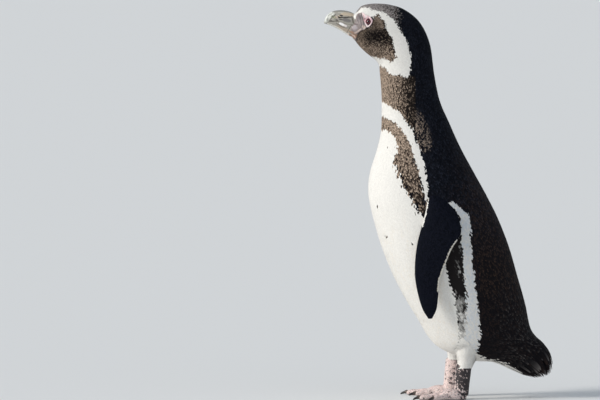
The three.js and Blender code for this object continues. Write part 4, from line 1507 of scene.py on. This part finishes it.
def distances(tree, points):
    """Distances in mm of points from the closed surface that tree holds."""
    flat = points.reshape(-1, 3)
    return np.array([tree.find_nearest(Vector(p))[3] for p in flat]).reshape(points.shape[:-1]) / MM


def body_tree(depth):
    """The body's outline, that much deeper, for asking what lies inside it."""
    t, angle = grid(np.linspace(0, 20.6, 140), 96)
    vertices, faces = lofted(body_point(t, angle, np.full(t.shape, -depth * MM)))
    polygons = [list(map(int, row)) for f in faces for row in f]
    return BVHTree.FromPolygons([tuple(v) for v in vertices], polygons)


# ---------------------------------------------------------------- camera, light and floor

VIEW_HEIGHT = 0.327
VIEW_Y = -0.2285
VIEW_DISTANCE = 12
VIEW_WIDTH = 0.99


def studio():
    camera = bpy.data.objects.new("camera", bpy.data.cameras.new("camera"))
    bpy.context.collection.objects.link(camera)
    camera.data.sensor_width = 36
    camera.data.lens = 36 * VIEW_DISTANCE / VIEW_WIDTH
    camera.data.clip_end = 2000
    target = Vector((0, VIEW_Y, VIEW_HEIGHT))
    away = Vector((math.cos(CAMERA_ELEVATION), 0, math.sin(CAMERA_ELEVATION)))
    camera.location = target + away * VIEW_DISTANCE
    camera.rotation_euler = (-away).to_track_quat("-Z", "Y").to_euler()
    bpy.context.scene.camera = camera

    def sun(name, direction, strength, softness, colour=(1, 1, 1)):
        lamp = bpy.data.lights.new(name, "SUN")
        lamp.energy = strength
        lamp.angle = math.radians(softness)
        lamp.color = colour
        holder = bpy.data.objects.new(name, lamp)
        bpy.context.collection.objects.link(holder)
        holder.rotation_euler = (-Vector(direction)).to_track_quat("-Z", "Y").to_euler()

    sun("key", (0.4, -1.0, 0.5), 2.75, 20, (1, 0.97, 0.92))
    sun("fill", (0.7, 0.5, 0.6), 0.15, 60, (0.85, 0.93, 1))

    bpy.context.scene.view_settings.view_transform = "Standard"
    world = bpy.data.worlds.new("world")
    bpy.context.scene.world = world
    world.use_nodes = True
    world.node_tree.nodes["Background"].inputs["Color"].default_value = (0.82, 0.9, 1, 1)
    world.node_tree.nodes["Background"].inputs["Strength"].default_value = 0.5

    bpy.ops.mesh.primitive_plane_add(size=600, location=(0, 0, 0))
    floor = bpy.context.object
    floor.name = "floor"
    material, tree, shader = new_material("floor_paint", 0.9)
    cloud = node(tree, "ShaderNodeTexNoise")
    cloud.inputs["Scale"].default_value = 3
    ramp = node(tree, "ShaderNodeValToRGB")
    ramp.color_ramp.elements[0].color = (0.78, 0.78, 0.77, 1)
    ramp.color_ramp.elements[1].color = (0.82, 0.82, 0.81, 1)
    tree.links.new(cloud.outputs["Fac"], ramp.inputs["Fac"])
    tree.links.new(ramp.outputs["Color"], shader.inputs["Base Color"])
    floor.data.materials.append(material)


# ---------------------------------------------------------------- the bird

rng = np.random.default_rng(20)
PLUMAGE = plumage_material()
BILL_HORN = bill_material()
WET_EYE = eye_material()
CLAW_HORN = claw_material()

OUTLINE = body_tree(0)
ROOTS_DEEP = 2.5  # how deep inside the body feathers of flippers and legs are left out

studio()
skin()
mandible("bill_upper", True)
mandible("bill_lower", False)
for name, side in (("left", 1), ("right", -1)):
    eye("eye_" + name, side)
claws()
body_coat()
tail_coat()
inner = body_tree(ROOTS_DEEP)
for name, side in (("left", 1), ("right", -1)):
    flipper_coat("coat_flipper_" + name, side, inner)
    leg_coat("coat_leg_" + name, LEGS[name], inner)
